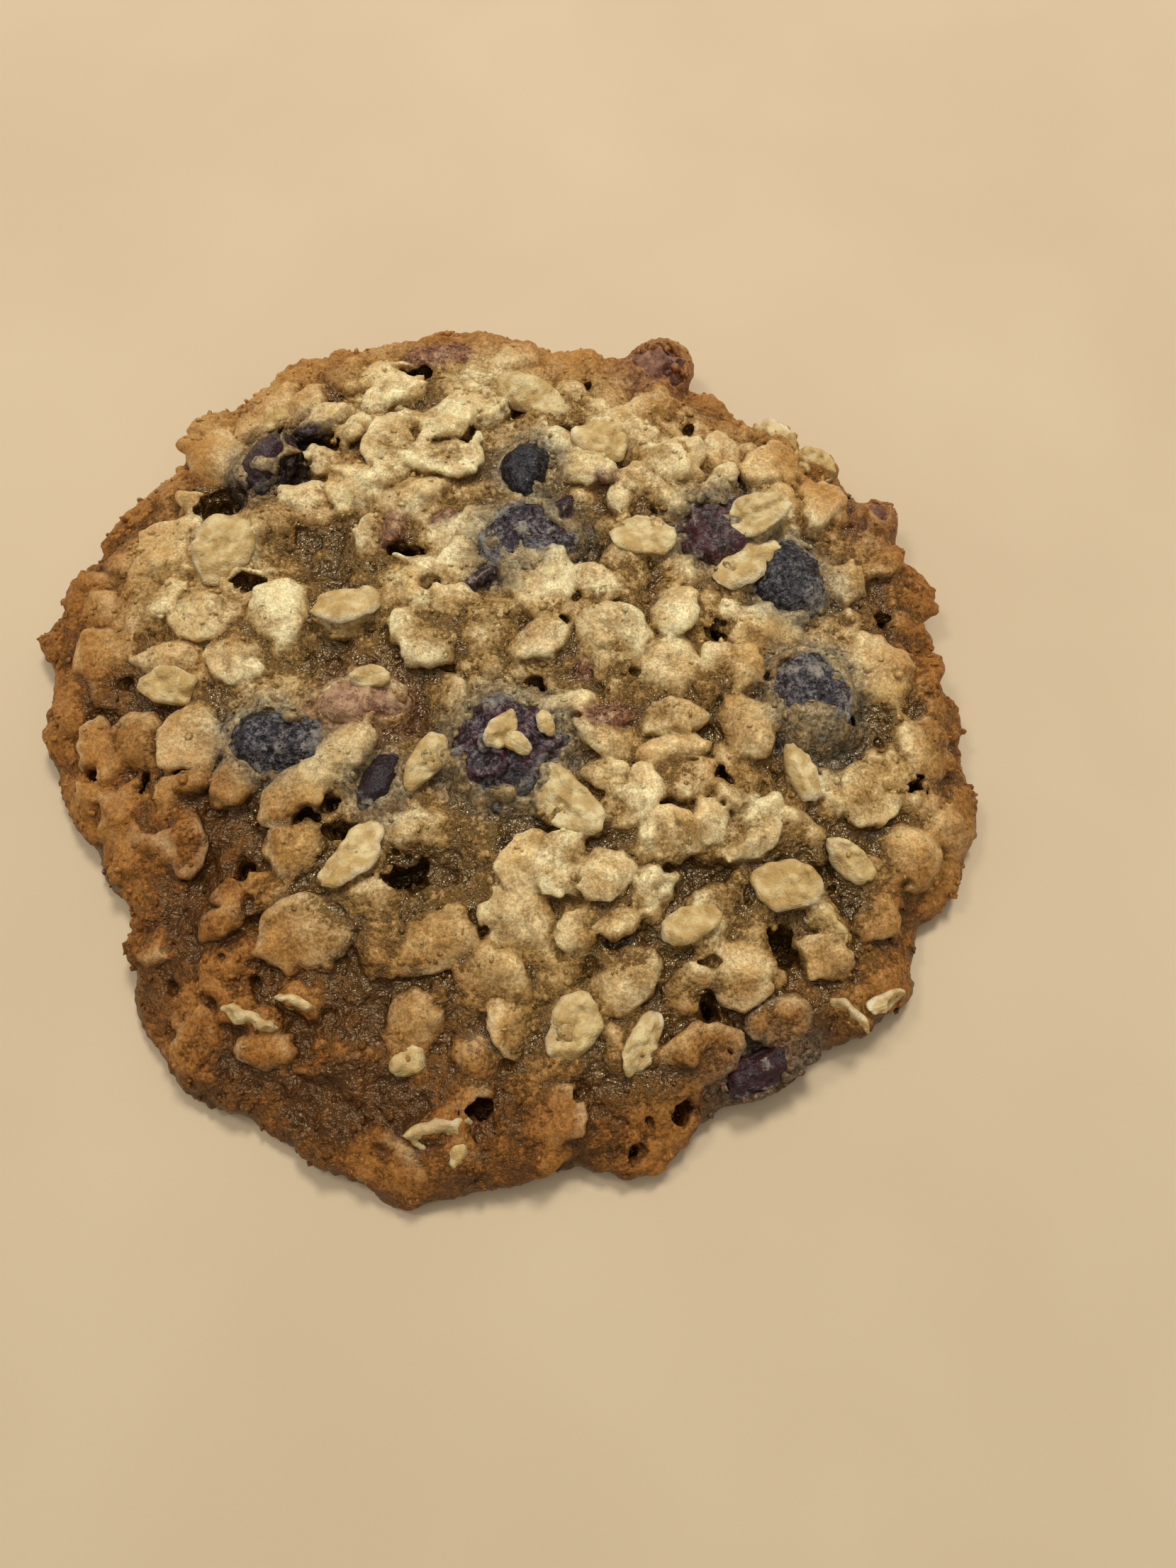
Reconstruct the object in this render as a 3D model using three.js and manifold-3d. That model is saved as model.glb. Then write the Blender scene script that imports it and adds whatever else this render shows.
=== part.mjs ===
// An oatmeal cranberry cookie: a flat round of baked dough, crowded with rolled-oat flakes that are baked
// into it, with cranberries sunk into its top. Millimetres, +Z up, the flat underside on the plane z = 0.

import * as THREE from "three";
import { mergeVertices } from "three/addons/utils/BufferGeometryUtils.js";
import Module from "manifold-3d";

// The rim seen from above: [direction in degrees, distance from the middle].
const RIM = [
  [0, 49.5], [8, 48], [24, 49.5], [47, 47.5], [57, 46], [72, 48.4], [78, 47], [90, 50], [102, 51.2],
  [131, 51.8], [143, 50.2], [150, 50.4], [171, 51.4], [182, 50.2], [192, 49], [202, 46.2], [215, 45],
  [222, 49.2], [234, 52], [243, 50.6], [264, 52.4], [276, 49.8], [287, 50.6], [298, 49.8], [309, 50.4],
  [318, 52.6], [329, 51], [336, 52.8], [348, 51.7],
];

// Half of the dough's upright section: [share of the rim's distance, share of the middle's height], and the
// entry where it is widest.
const SECTION = [
  [0, 0], [0.93, 0], [0.98, 0.1], [1, 0.26], [0.985, 0.44], [0.945, 0.58], [0.87, 0.7],
  [0.75, 0.82], [0.58, 0.9], [0.4, 0.96], [0.2, 0.99], [0, 1],
];
const SECTION_WIDEST = 3;
const DOUGH_HEIGHT = 8.2;
const DOUGH_SECTORS = 48;

// The side that baked thinner and darker: its direction in degrees, and the share of height that it lost.
const THIN_SIDE_DIRECTION = 240;
const THIN_SIDE_LOSS = 0.2;
const THIN_SIDE_SPAN = [0.35, 0.9];

// Low swells of the dough between its flakes: a chequer of domes and a slanting wave, as height and length.
const DOME_SWELL = [0.3, 31];
const SLANT_SWELL = [0.2, 23];
const SWELL_PHASE = 1.1;

// Flakes that stand out: [x, y, length, width, turn from +X, lean about the long axis].
const LEADING_FLAKES = [
  [-31.2, 15.8, 8.5, 6.8, 55, 8], [-32.6, 8.1, 8, 6, 25, -12], [-16.9, 8, 7.7, 4.8, 5, -14],
  [-7.8, 5.3, 8.5, 6.5, 110, 10], [-13.3, 29.2, 9, 5.5, 100, 18], [-6.9, 27.4, 8.5, 5.3, 170, 16],
  [-6.4, 33.9, 7.5, 6, 35, -10], [-16.7, 23.9, 7, 5, -15, 8], [-10.3, 22.8, 8, 5, 25, -20],
  [-34, 29, 9, 7, 140, -8], [-34.8, -1, 7, 4.3, -5, 8], [24.5, 38.4, 6.5, 4, -55, 22],
  [11.1, 30.6, 6.4, 6.2, 0, -6], [3, 36.5, 9, 5, -20, 24], [15.6, 17, 7, 6, -10, -8],
  [12.2, 4, 8, 7, 20, 8], [18.5, 8.3, 7, 4.5, 80, -18], [31, 28.4, 8, 5, 30, 14],
  [36.2, 22.7, 6.5, 5, 60, -12], [40.5, 1, 9, 7, -25, 10], [25.6, -5.5, 7.5, 5.5, 100, -14],
  [7.2, -14.3, 10, 5, -40, 14], [13.8, -13.8, 6.5, 5, 60, -16], [17.6, -17.8, 6, 5.8, 0, 10],
  [26, -17, 6.5, 5.5, 30, -10], [38.5, -12.7, 7, 6.3, 100, 8], [45.2, -7, 9, 6, 70, 12],
  [42.5, -19.5, 6.5, 5, 110, -14], [29.4, -23, 6.8, 6, -30, 12], [38.7, -25.3, 5.5, 4.5, 40, -16],
  [19.4, -26.7, 6, 4, 25, -22], [2.5, -26.4, 7.5, 7, 0, 6], [23, -31.2, 8.6, 6, -10, -8],
  [8.1, -36.5, 6.6, 5.3, 60, 6], [14.7, -38.1, 6.5, 3.5, 60, 26], [20, -39.2, 9, 5.5, 30, 12],
  [6.3, -44.4, 7, 4.7, 15, -12], [-14, -20, 8, 5, 45, -18], [-32.5, -6.7, 7, 6.5, 80, 8],
  [-33, -17, 9.5, 6, 95, -10], [-42, -7.4, 7.5, 5, 100, 12], [-24.3, -23, 7, 4, 10, -16],
  [-19, -27.3, 10, 6.5, 20, 8], [-5.7, -28.3, 8.5, 5.5, 30, -10], [-28.2, -38, 7, 5.5, 120, 8],
  [-4.5, -48.6, 9, 4.5, 5, 14],
];
const LEADING_FLAKE_LIFT = 1.1;

// The other flakes: sites on a sunflower spiral over the top, and the range that each draw is made in.
const SPIRAL_SITES = 200;
const SPIRAL_REACH = 0.93;
const SITE_JITTER = 1.6;
const FLAKE_LENGTH = [6.4, 9];
const FLAKE_SLENDERNESS = [0.64, 0.9];
const FLAKE_LEAN = [-24, 24];
const FLAKE_LIFT = [0.2, 1.2];
const FLAKE_SPACING = 0.32;
const BERRY_CLEARANCE = 0.36;

// A flake with the dough that coats it and the foot of dough that it stands on: its section as
// [share of half width, share of thickness].
const FLAKE_SECTION = [[0, -0.9], [1, -0.12], [0.74, 0.4], [0, 0.5]];
const FLAKE_THICKNESS = 2.4;
const FLAKE_SIDES = 6;
const FLAKE_SLOPE_FOLLOWING = 0.75;
const SLOPE_STEP = 1.5;
const GOLDEN_ANGLE = Math.PI * (3 - Math.sqrt(5));

// Cranberries: [x, y, half length, half width, half height, turn from +X, share that is sunk].
const BERRIES = [
  [1.1, -8, 6.5, 6.2, 4.3, 20, 0.62], [-22.8, -7.2, 5.7, 3.6, 3.4, -8, 0.6],
  [24, 18.5, 5.2, 4.4, 3.8, 75, 0.62], [31.8, 12.6, 5, 4.2, 3.8, 100, 0.6],
  [33, -2.6, 6, 4.5, 3.9, 95, 0.62], [2.4, 26.4, 3.6, 2.7, 2.8, 80, 0.58],
  [2.2, 17.2, 6.4, 4.9, 3.9, 15, 0.62], [-12, -11.9, 3.1, 2.1, 2.4, 70, 0.7],
  [26.6, -39.8, 4.6, 2, 2.2, 28, 0.62], [-27.8, 28.2, 4.4, 2.2, 2.8, 58, 0.62],
  [18, 43.4, 4, 3.3, 3, 35, 0.42], [42.6, 21.4, 2.6, 2.2, 2.2, 60, 0.5],
  [-14.2, -3, 4.5, 2.7, 3, 0, 0.6],
];
const BERRY_SIDES = 12;
const BERRY_ROWS = 8;
const BERRY_DENTS = 3;
const BERRY_DENT = 0.06;
const POCKET_GAP = 0.3;

// Crags: deep holes between flakes, [x, y, half length, half width, turn from +X].
const CRAGS = [
  [-33.4, 22.4, 2.6, 2, 80], [-23.6, 27.2, 2.2, 1.7, 100], [28.7, -28.6, 2.2, 1.4, 80],
  [-15.4, -15.9, 2, 1.1, 20], [-8.9, -21.6, 2, 1.1, 30], [-0.6, -43.6, 1.6, 1.3, 0],
];
const CRAG_DEPTH = 3.5;
const CRAG_RISE = 0.5;
const CRAG_SIDES = 8;
const CRAG_ROWS = 6;

// The arm of dough that carries the cranberry at the back rim: [x, y, height] from end to end, and its width.
const ARM_START = [11, 38.5, 3.2];
const ARM_END = [16.5, 42.4, 3];
const ARM_HALF_WIDTH = 4.4;
const ARM_HALF_HEIGHT = 2.9;

const DOUGH_COLOUR = 0xb98a4c;
const BERRY_COLOURS = [0x2b1620, 0x3a1218, 0x1d1a24];

const wasm = await Module();
wasm.setup();

const radians = THREE.MathUtils.degToRad;
const mix = THREE.MathUtils.lerp;

// A draw from 0 to 1 for one property of one piece, the same on every run.
function draw(piece, property) {
  const wave = Math.sin(piece * 12.9898 + property * 78.233) * 43758.5453;
  return wave - Math.floor(wave);
}

function drawIn(range, piece, property) {
  return mix(range[0], range[1], draw(piece, property));
}

// The rim's distance from the middle in one direction, on a closed smooth curve through RIM.
function rimRadius(angle) {
  const degrees = THREE.MathUtils.euclideanModulo(THREE.MathUtils.radToDeg(angle), 360);
  const count = RIM.length;
  let index = count - 1;
  while (RIM[index][0] > degrees) {
    index -= 1;
  }
  const start = RIM[index][0];
  const end = index + 1 < count ? RIM[index + 1][0] : 360;
  const t = (degrees - start) / (end - start);
  const [before, from, to, after] = [-1, 0, 1, 2].map((step) => RIM[(index + step + count) % count][1]);
  const slopeFrom = (to - before) / 2;
  const slopeTo = (after - from) / 2;
  const cubic = 2 * from - 2 * to + slopeFrom + slopeTo;
  const square = -3 * from + 3 * to - 2 * slopeFrom - slopeTo;
  return ((cubic * t + square) * t + slopeFrom) * t + from;
}

// The share of full height that the dough keeps at a place: less on the thin side, with low swells.
function heightShare(x, y) {
  const share = Math.hypot(x, y) / rimRadius(Math.atan2(y, x));
  const facing = Math.max(0, Math.cos(Math.atan2(y, x) - radians(THIN_SIDE_DIRECTION)));
  const loss = THIN_SIDE_LOSS * facing * THREE.MathUtils.smoothstep(share, ...THIN_SIDE_SPAN);
  const [domeHeight, domeLength] = DOME_SWELL;
  const [slantHeight, slantLength] = SLANT_SWELL;
  const turnOf = (distance, length) => (2 * Math.PI * distance) / length;
  const dome = Math.sin(turnOf(x, domeLength) + SWELL_PHASE) * Math.cos(turnOf(y, domeLength));
  const slant = Math.sin(turnOf(x + y, slantLength));
  return 1 - loss + (domeHeight * dome + slantHeight * slant) / DOUGH_HEIGHT;
}

// The height of the dough's top, without flakes.
function doughTop(x, y) {
  const share = Math.min(Math.hypot(x, y) / rimRadius(Math.atan2(y, x)), SECTION[SECTION_WIDEST][0]);
  let index = SECTION.length - 1;
  while (SECTION[index][0] < share) {
    index -= 1;
  }
  const [outerShare, outerHeight] = SECTION[index];
  const [innerShare, innerHeight] = SECTION[Math.min(index + 1, SECTION.length - 1)];
  const span = outerShare - innerShare;
  const height = span > 0 ? mix(outerHeight, innerHeight, (outerShare - share) / span) : outerHeight;
  return DOUGH_HEIGHT * height * heightShare(x, y);
}

// The upward direction of the dough's top, eased towards the vertical.
function topNormal(x, y) {
  const slopeX = (doughTop(x + SLOPE_STEP, y) - doughTop(x - SLOPE_STEP, y)) / (2 * SLOPE_STEP);
  const slopeY = (doughTop(x, y + SLOPE_STEP) - doughTop(x, y - SLOPE_STEP)) / (2 * SLOPE_STEP);
  const follow = FLAKE_SLOPE_FOLLOWING;
  return new THREE.Vector3(-follow * slopeX, -follow * slopeY, 1).normalize();
}

// A closed surface with shared corners and no flat triangles, as a solid that can be joined and cut.
function solidOf(geometry) {
  const bare = geometry.clone();
  bare.deleteAttribute("normal");
  bare.deleteAttribute("uv");
  const merged = mergeVertices(bare, 1e-4);
  const corners = merged.index.array;
  const triangles = [];
  for (let i = 0; i < corners.length; i += 3) {
    const [a, b, c] = corners.slice(i, i + 3);
    if (a !== b && b !== c && c !== a) {
      triangles.push(a, b, c);
    }
  }
  const vertProperties = new Float32Array(merged.attributes.position.array);
  const triVerts = new Uint32Array(triangles);
  return new wasm.Manifold(new wasm.Mesh({ numProp: 3, vertProperties, triVerts }));
}

function geometryOf(solid) {
  const mesh = solid.getMesh();
  const geometry = new THREE.BufferGeometry();
  geometry.setAttribute("position", new THREE.BufferAttribute(mesh.vertProperties, 3));
  geometry.setIndex(new THREE.BufferAttribute(mesh.triVerts, 1));
  geometry.computeVertexNormals();
  return geometry;
}

// A turned profile of [radius, height] pairs, standing on +Z.
function turned(profile, sides) {
  const points = profile.map(([radius, height]) => new THREE.Vector2(radius, height));
  return new THREE.LatheGeometry(points, sides).rotateX(Math.PI / 2);
}

// The dough: its section turned round, then drawn out to the rim and shaped by the share of height.
function doughSolid() {
  const geometry = turned(SECTION, DOUGH_SECTORS);
  const place = geometry.attributes.position;
  for (let i = 0; i < place.count; i += 1) {
    const angle = Math.atan2(place.getY(i), place.getX(i));
    const radius = Math.hypot(place.getX(i), place.getY(i)) * rimRadius(angle);
    const x = radius * Math.cos(angle);
    const y = radius * Math.sin(angle);
    place.setXYZ(i, x, y, place.getZ(i) * DOUGH_HEIGHT * heightShare(x, y));
  }
  return solidOf(geometry);
}

// A lump of dough between two points: the arm under the cranberry at the back rim.
function armSolid() {
  const start = new THREE.Vector3(...ARM_START);
  const end = new THREE.Vector3(...ARM_END);
  const along = end.clone().sub(start);
  const geometry = new THREE.SphereGeometry(1, BERRY_SIDES, BERRY_ROWS).rotateX(Math.PI / 2);
  geometry.scale(along.length() / 2 + ARM_HALF_WIDTH, ARM_HALF_WIDTH, ARM_HALF_HEIGHT);
  geometry.rotateZ(Math.atan2(along.y, along.x));
  const middle = start.add(end).multiplyScalar(0.5);
  geometry.translate(middle.x, middle.y, middle.z);
  return solidOf(geometry);
}

// One flake: a thin lens that lies on the dough's slope, turned, leaning and lifted.
function flakeSolid({ x, y, length, width, turn, lean, lift }) {
  const profile = FLAKE_SECTION.map(([radius, height]) => [radius, height * FLAKE_THICKNESS]);
  const geometry = turned(profile, FLAKE_SIDES).scale(length / 2, width / 2, 1);
  geometry.rotateX(radians(lean)).rotateZ(radians(turn));
  const upright = new THREE.Vector3(0, 0, 1);
  geometry.applyQuaternion(new THREE.Quaternion().setFromUnitVectors(upright, topNormal(x, y)));
  return solidOf(geometry.translate(x, y, doughTop(x, y) + lift));
}

// A cranberry with shallow dents, grown by a gap where it is the pocket that it lies in.
function berryGeometry([x, y, halfLength, halfWidth, halfHeight, turn, sunk], gap) {
  const geometry = new THREE.SphereGeometry(1, BERRY_SIDES, BERRY_ROWS).rotateX(Math.PI / 2);
  const place = geometry.attributes.position;
  for (let i = 0; i < place.count; i += 1) {
    const around = Math.atan2(place.getY(i), place.getX(i));
    const girth = Math.hypot(place.getX(i), place.getY(i));
    const dent = 1 - BERRY_DENT * girth * (1 + Math.cos(BERRY_DENTS * around + x)) / 2;
    place.setXYZ(i, place.getX(i) * dent, place.getY(i) * dent, place.getZ(i));
  }
  geometry.scale(halfLength + gap, halfWidth + gap, halfHeight + gap);
  geometry.rotateZ(radians(turn));
  const base = doughTop(x, y) - 2 * halfHeight * sunk;
  return geometry.translate(x, y, base + halfHeight);
}

// A crag: a deep pit, wide at the mouth, with its lower end inside the dough.
function cragSolid([x, y, halfLength, halfWidth, turn]) {
  const geometry = new THREE.SphereGeometry(1, CRAG_SIDES, CRAG_ROWS).rotateX(Math.PI / 2);
  geometry.scale(halfLength, halfWidth, CRAG_DEPTH + CRAG_RISE).rotateZ(radians(turn));
  return solidOf(geometry.translate(x, y, doughTop(x, y) + CRAG_RISE));
}

// Whether a flake of this length stays off every cranberry.
function clearOfBerries(x, y, length) {
  return BERRIES.every(([bx, by, halfLength, halfWidth]) => {
    const reach = (halfLength + halfWidth) / 2 + BERRY_CLEARANCE * length;
    return Math.hypot(x - bx, y - by) > reach;
  });
}

// The flakes that stand out, then the spiral's flakes in the room that is left.
function placeFlakes() {
  const flakes = LEADING_FLAKES.map(([x, y, length, width, turn, lean]) => ({
    x, y, length, width, turn, lean, lift: LEADING_FLAKE_LIFT,
  }));
  const leading = flakes.slice();
  for (let site = 0; site < SPIRAL_SITES; site += 1) {
    const angle = site * GOLDEN_ANGLE;
    const radius = SPIRAL_REACH * Math.sqrt((site + 0.5) / SPIRAL_SITES) * rimRadius(angle);
    const x = radius * Math.cos(angle) + SITE_JITTER * (draw(site, 1) - 0.5);
    const y = radius * Math.sin(angle) + SITE_JITTER * (draw(site, 2) - 0.5);
    const length = drawIn(FLAKE_LENGTH, site, 3);
    const width = length * drawIn(FLAKE_SLENDERNESS, site, 4);
    const room = (other) => FLAKE_SPACING * (length + other.length);
    const crowded = leading.some((other) => Math.hypot(x - other.x, y - other.y) < room(other));
    if (!crowded && clearOfBerries(x, y, length)) {
      const turn = 360 * draw(site, 5);
      const lean = drawIn(FLAKE_LEAN, site, 6);
      flakes.push({ x, y, length, width, turn, lean, lift: drawIn(FLAKE_LIFT, site, 7) });
    }
  }
  return flakes.sort((a, b) => b.length - a.length);
}

// Everything below the resting plane, which is cut away.
function belowRest() {
  const reach = 4 * RIM[0][1];
  return solidOf(new THREE.BoxGeometry(reach, reach, reach).translate(0, 0, -reach / 2));
}

// The baked body: dough, arm and flakes in one, flat underneath, with crags and the cranberries' pockets.
function bodyGeometry() {
  const fused = wasm.Manifold.union([doughSolid(), armSolid(), ...placeFlakes().map(flakeSolid)]);
  const pockets = BERRIES.map((berry) => solidOf(berryGeometry(berry, POCKET_GAP)));
  const cuts = wasm.Manifold.union([belowRest(), ...pockets, ...CRAGS.map(cragSolid)]);
  const pieces = fused.subtract(cuts).decompose();
  const whole = pieces.reduce((largest, piece) => (piece.volume() > largest.volume() ? piece : largest));
  return geometryOf(whole);
}

const cookie = new THREE.Group();

const doughMaterial = new THREE.MeshStandardMaterial({ color: DOUGH_COLOUR, roughness: 0.75, metalness: 0 });
const body = new THREE.Mesh(bodyGeometry(), doughMaterial);
body.name = "cookie_body";
cookie.add(body);

BERRIES.forEach((berry, index) => {
  const color = BERRY_COLOURS[index % BERRY_COLOURS.length];
  const material = new THREE.MeshStandardMaterial({ color, roughness: 0.45, metalness: 0 });
  const mesh = new THREE.Mesh(geometryOf(solidOf(berryGeometry(berry, 0))), material);
  mesh.name = `cranberry_${String(index + 1).padStart(2, "0")}`;
  cookie.add(mesh);
});

// The origin is under the middle of the whole cookie.
const extent = new THREE.Box3().setFromObject(cookie);
cookie.position.set(-(extent.min.x + extent.max.x) / 2, -(extent.min.y + extent.max.y) / 2, 0);

export default cookie;
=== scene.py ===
"""An oatmeal cranberry cookie, dressed for a studio picture.

The baked body is worked out as a field of distances on a fine grid: a domed dough, coated oat flakes that
melt into it, collars round the cranberries, shreds of skin, nubs and pits. Its surface is one mesh. Bare
flakes, crumbs and cranberries are meshes of their own. Sizes are in millimetres until a mesh is made, and
z = 0 is the resting plane.
"""
import math
from types import SimpleNamespace

import bpy
import numpy as np
import openvdb
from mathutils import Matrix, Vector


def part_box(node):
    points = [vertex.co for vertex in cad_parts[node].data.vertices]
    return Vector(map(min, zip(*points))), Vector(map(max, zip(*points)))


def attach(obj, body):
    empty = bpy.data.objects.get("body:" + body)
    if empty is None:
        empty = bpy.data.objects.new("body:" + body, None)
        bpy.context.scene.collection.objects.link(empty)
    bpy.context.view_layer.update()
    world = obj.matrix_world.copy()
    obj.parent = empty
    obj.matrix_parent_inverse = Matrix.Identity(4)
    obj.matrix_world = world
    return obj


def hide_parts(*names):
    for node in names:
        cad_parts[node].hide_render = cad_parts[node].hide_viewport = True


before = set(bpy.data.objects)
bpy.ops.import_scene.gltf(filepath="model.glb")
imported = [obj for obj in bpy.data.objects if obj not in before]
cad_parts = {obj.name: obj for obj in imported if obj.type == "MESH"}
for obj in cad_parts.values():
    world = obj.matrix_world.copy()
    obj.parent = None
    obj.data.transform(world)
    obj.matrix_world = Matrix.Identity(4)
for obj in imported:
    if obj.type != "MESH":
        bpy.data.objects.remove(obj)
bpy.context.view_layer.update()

MM = 0.001
BODY = "root"
SEED = 41
FULL_TURN = 6.283
FAR = 9.0

# The rim seen from above: (direction in degrees, distance from the middle).
RIM = [
    (0, 49.5), (8, 48), (24, 49.5), (47, 47.5), (57, 46), (72, 48.4), (78, 47), (90, 50), (102, 51.2),
    (131, 51.8), (143, 50.2), (150, 50.4), (171, 51.4), (182, 50.2), (192, 49), (202, 46.2), (215, 45),
    (222, 49.2), (234, 52), (243, 50.6), (264, 52.4), (276, 49.8), (287, 50.6), (298, 49.8), (309, 50.4),
    (318, 52.6), (329, 51), (336, 52.8), (348, 51.7),
]
MEAN_RIM = 50.0

# Half of the dough's upright section: (share of the rim's distance, share of the middle's height).
SECTION = [
    (0, 0), (0.93, 0), (0.98, 0.1), (1, 0.26), (0.985, 0.44), (0.945, 0.58), (0.87, 0.7), (0.75, 0.82),
    (0.58, 0.9), (0.4, 0.96), (0.2, 0.99), (0, 1),
]
SECTION_WIDEST = 3
DOUGH_HEIGHT = 8.0
SURFACE_SWELL = 0.6
SURFACE_ROLL = 0.35

# The side that baked thinner, and the browning of the rim and of one side: directions in degrees, and the
# spans of the share of the rim's distance over which they set in.
THIN_SIDE_DIRECTION = 240
THIN_SIDE_LOSS = 0.2
THIN_SIDE_SPAN = (0.35, 0.9)
BROWN_RIM_SPAN = (0.76, 1.04)
DARK_SIDE_DIRECTION = 228
DARK_SIDE_GAIN = 1.25
DARK_SIDE_SPAN = (0.42, 0.95)

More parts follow.
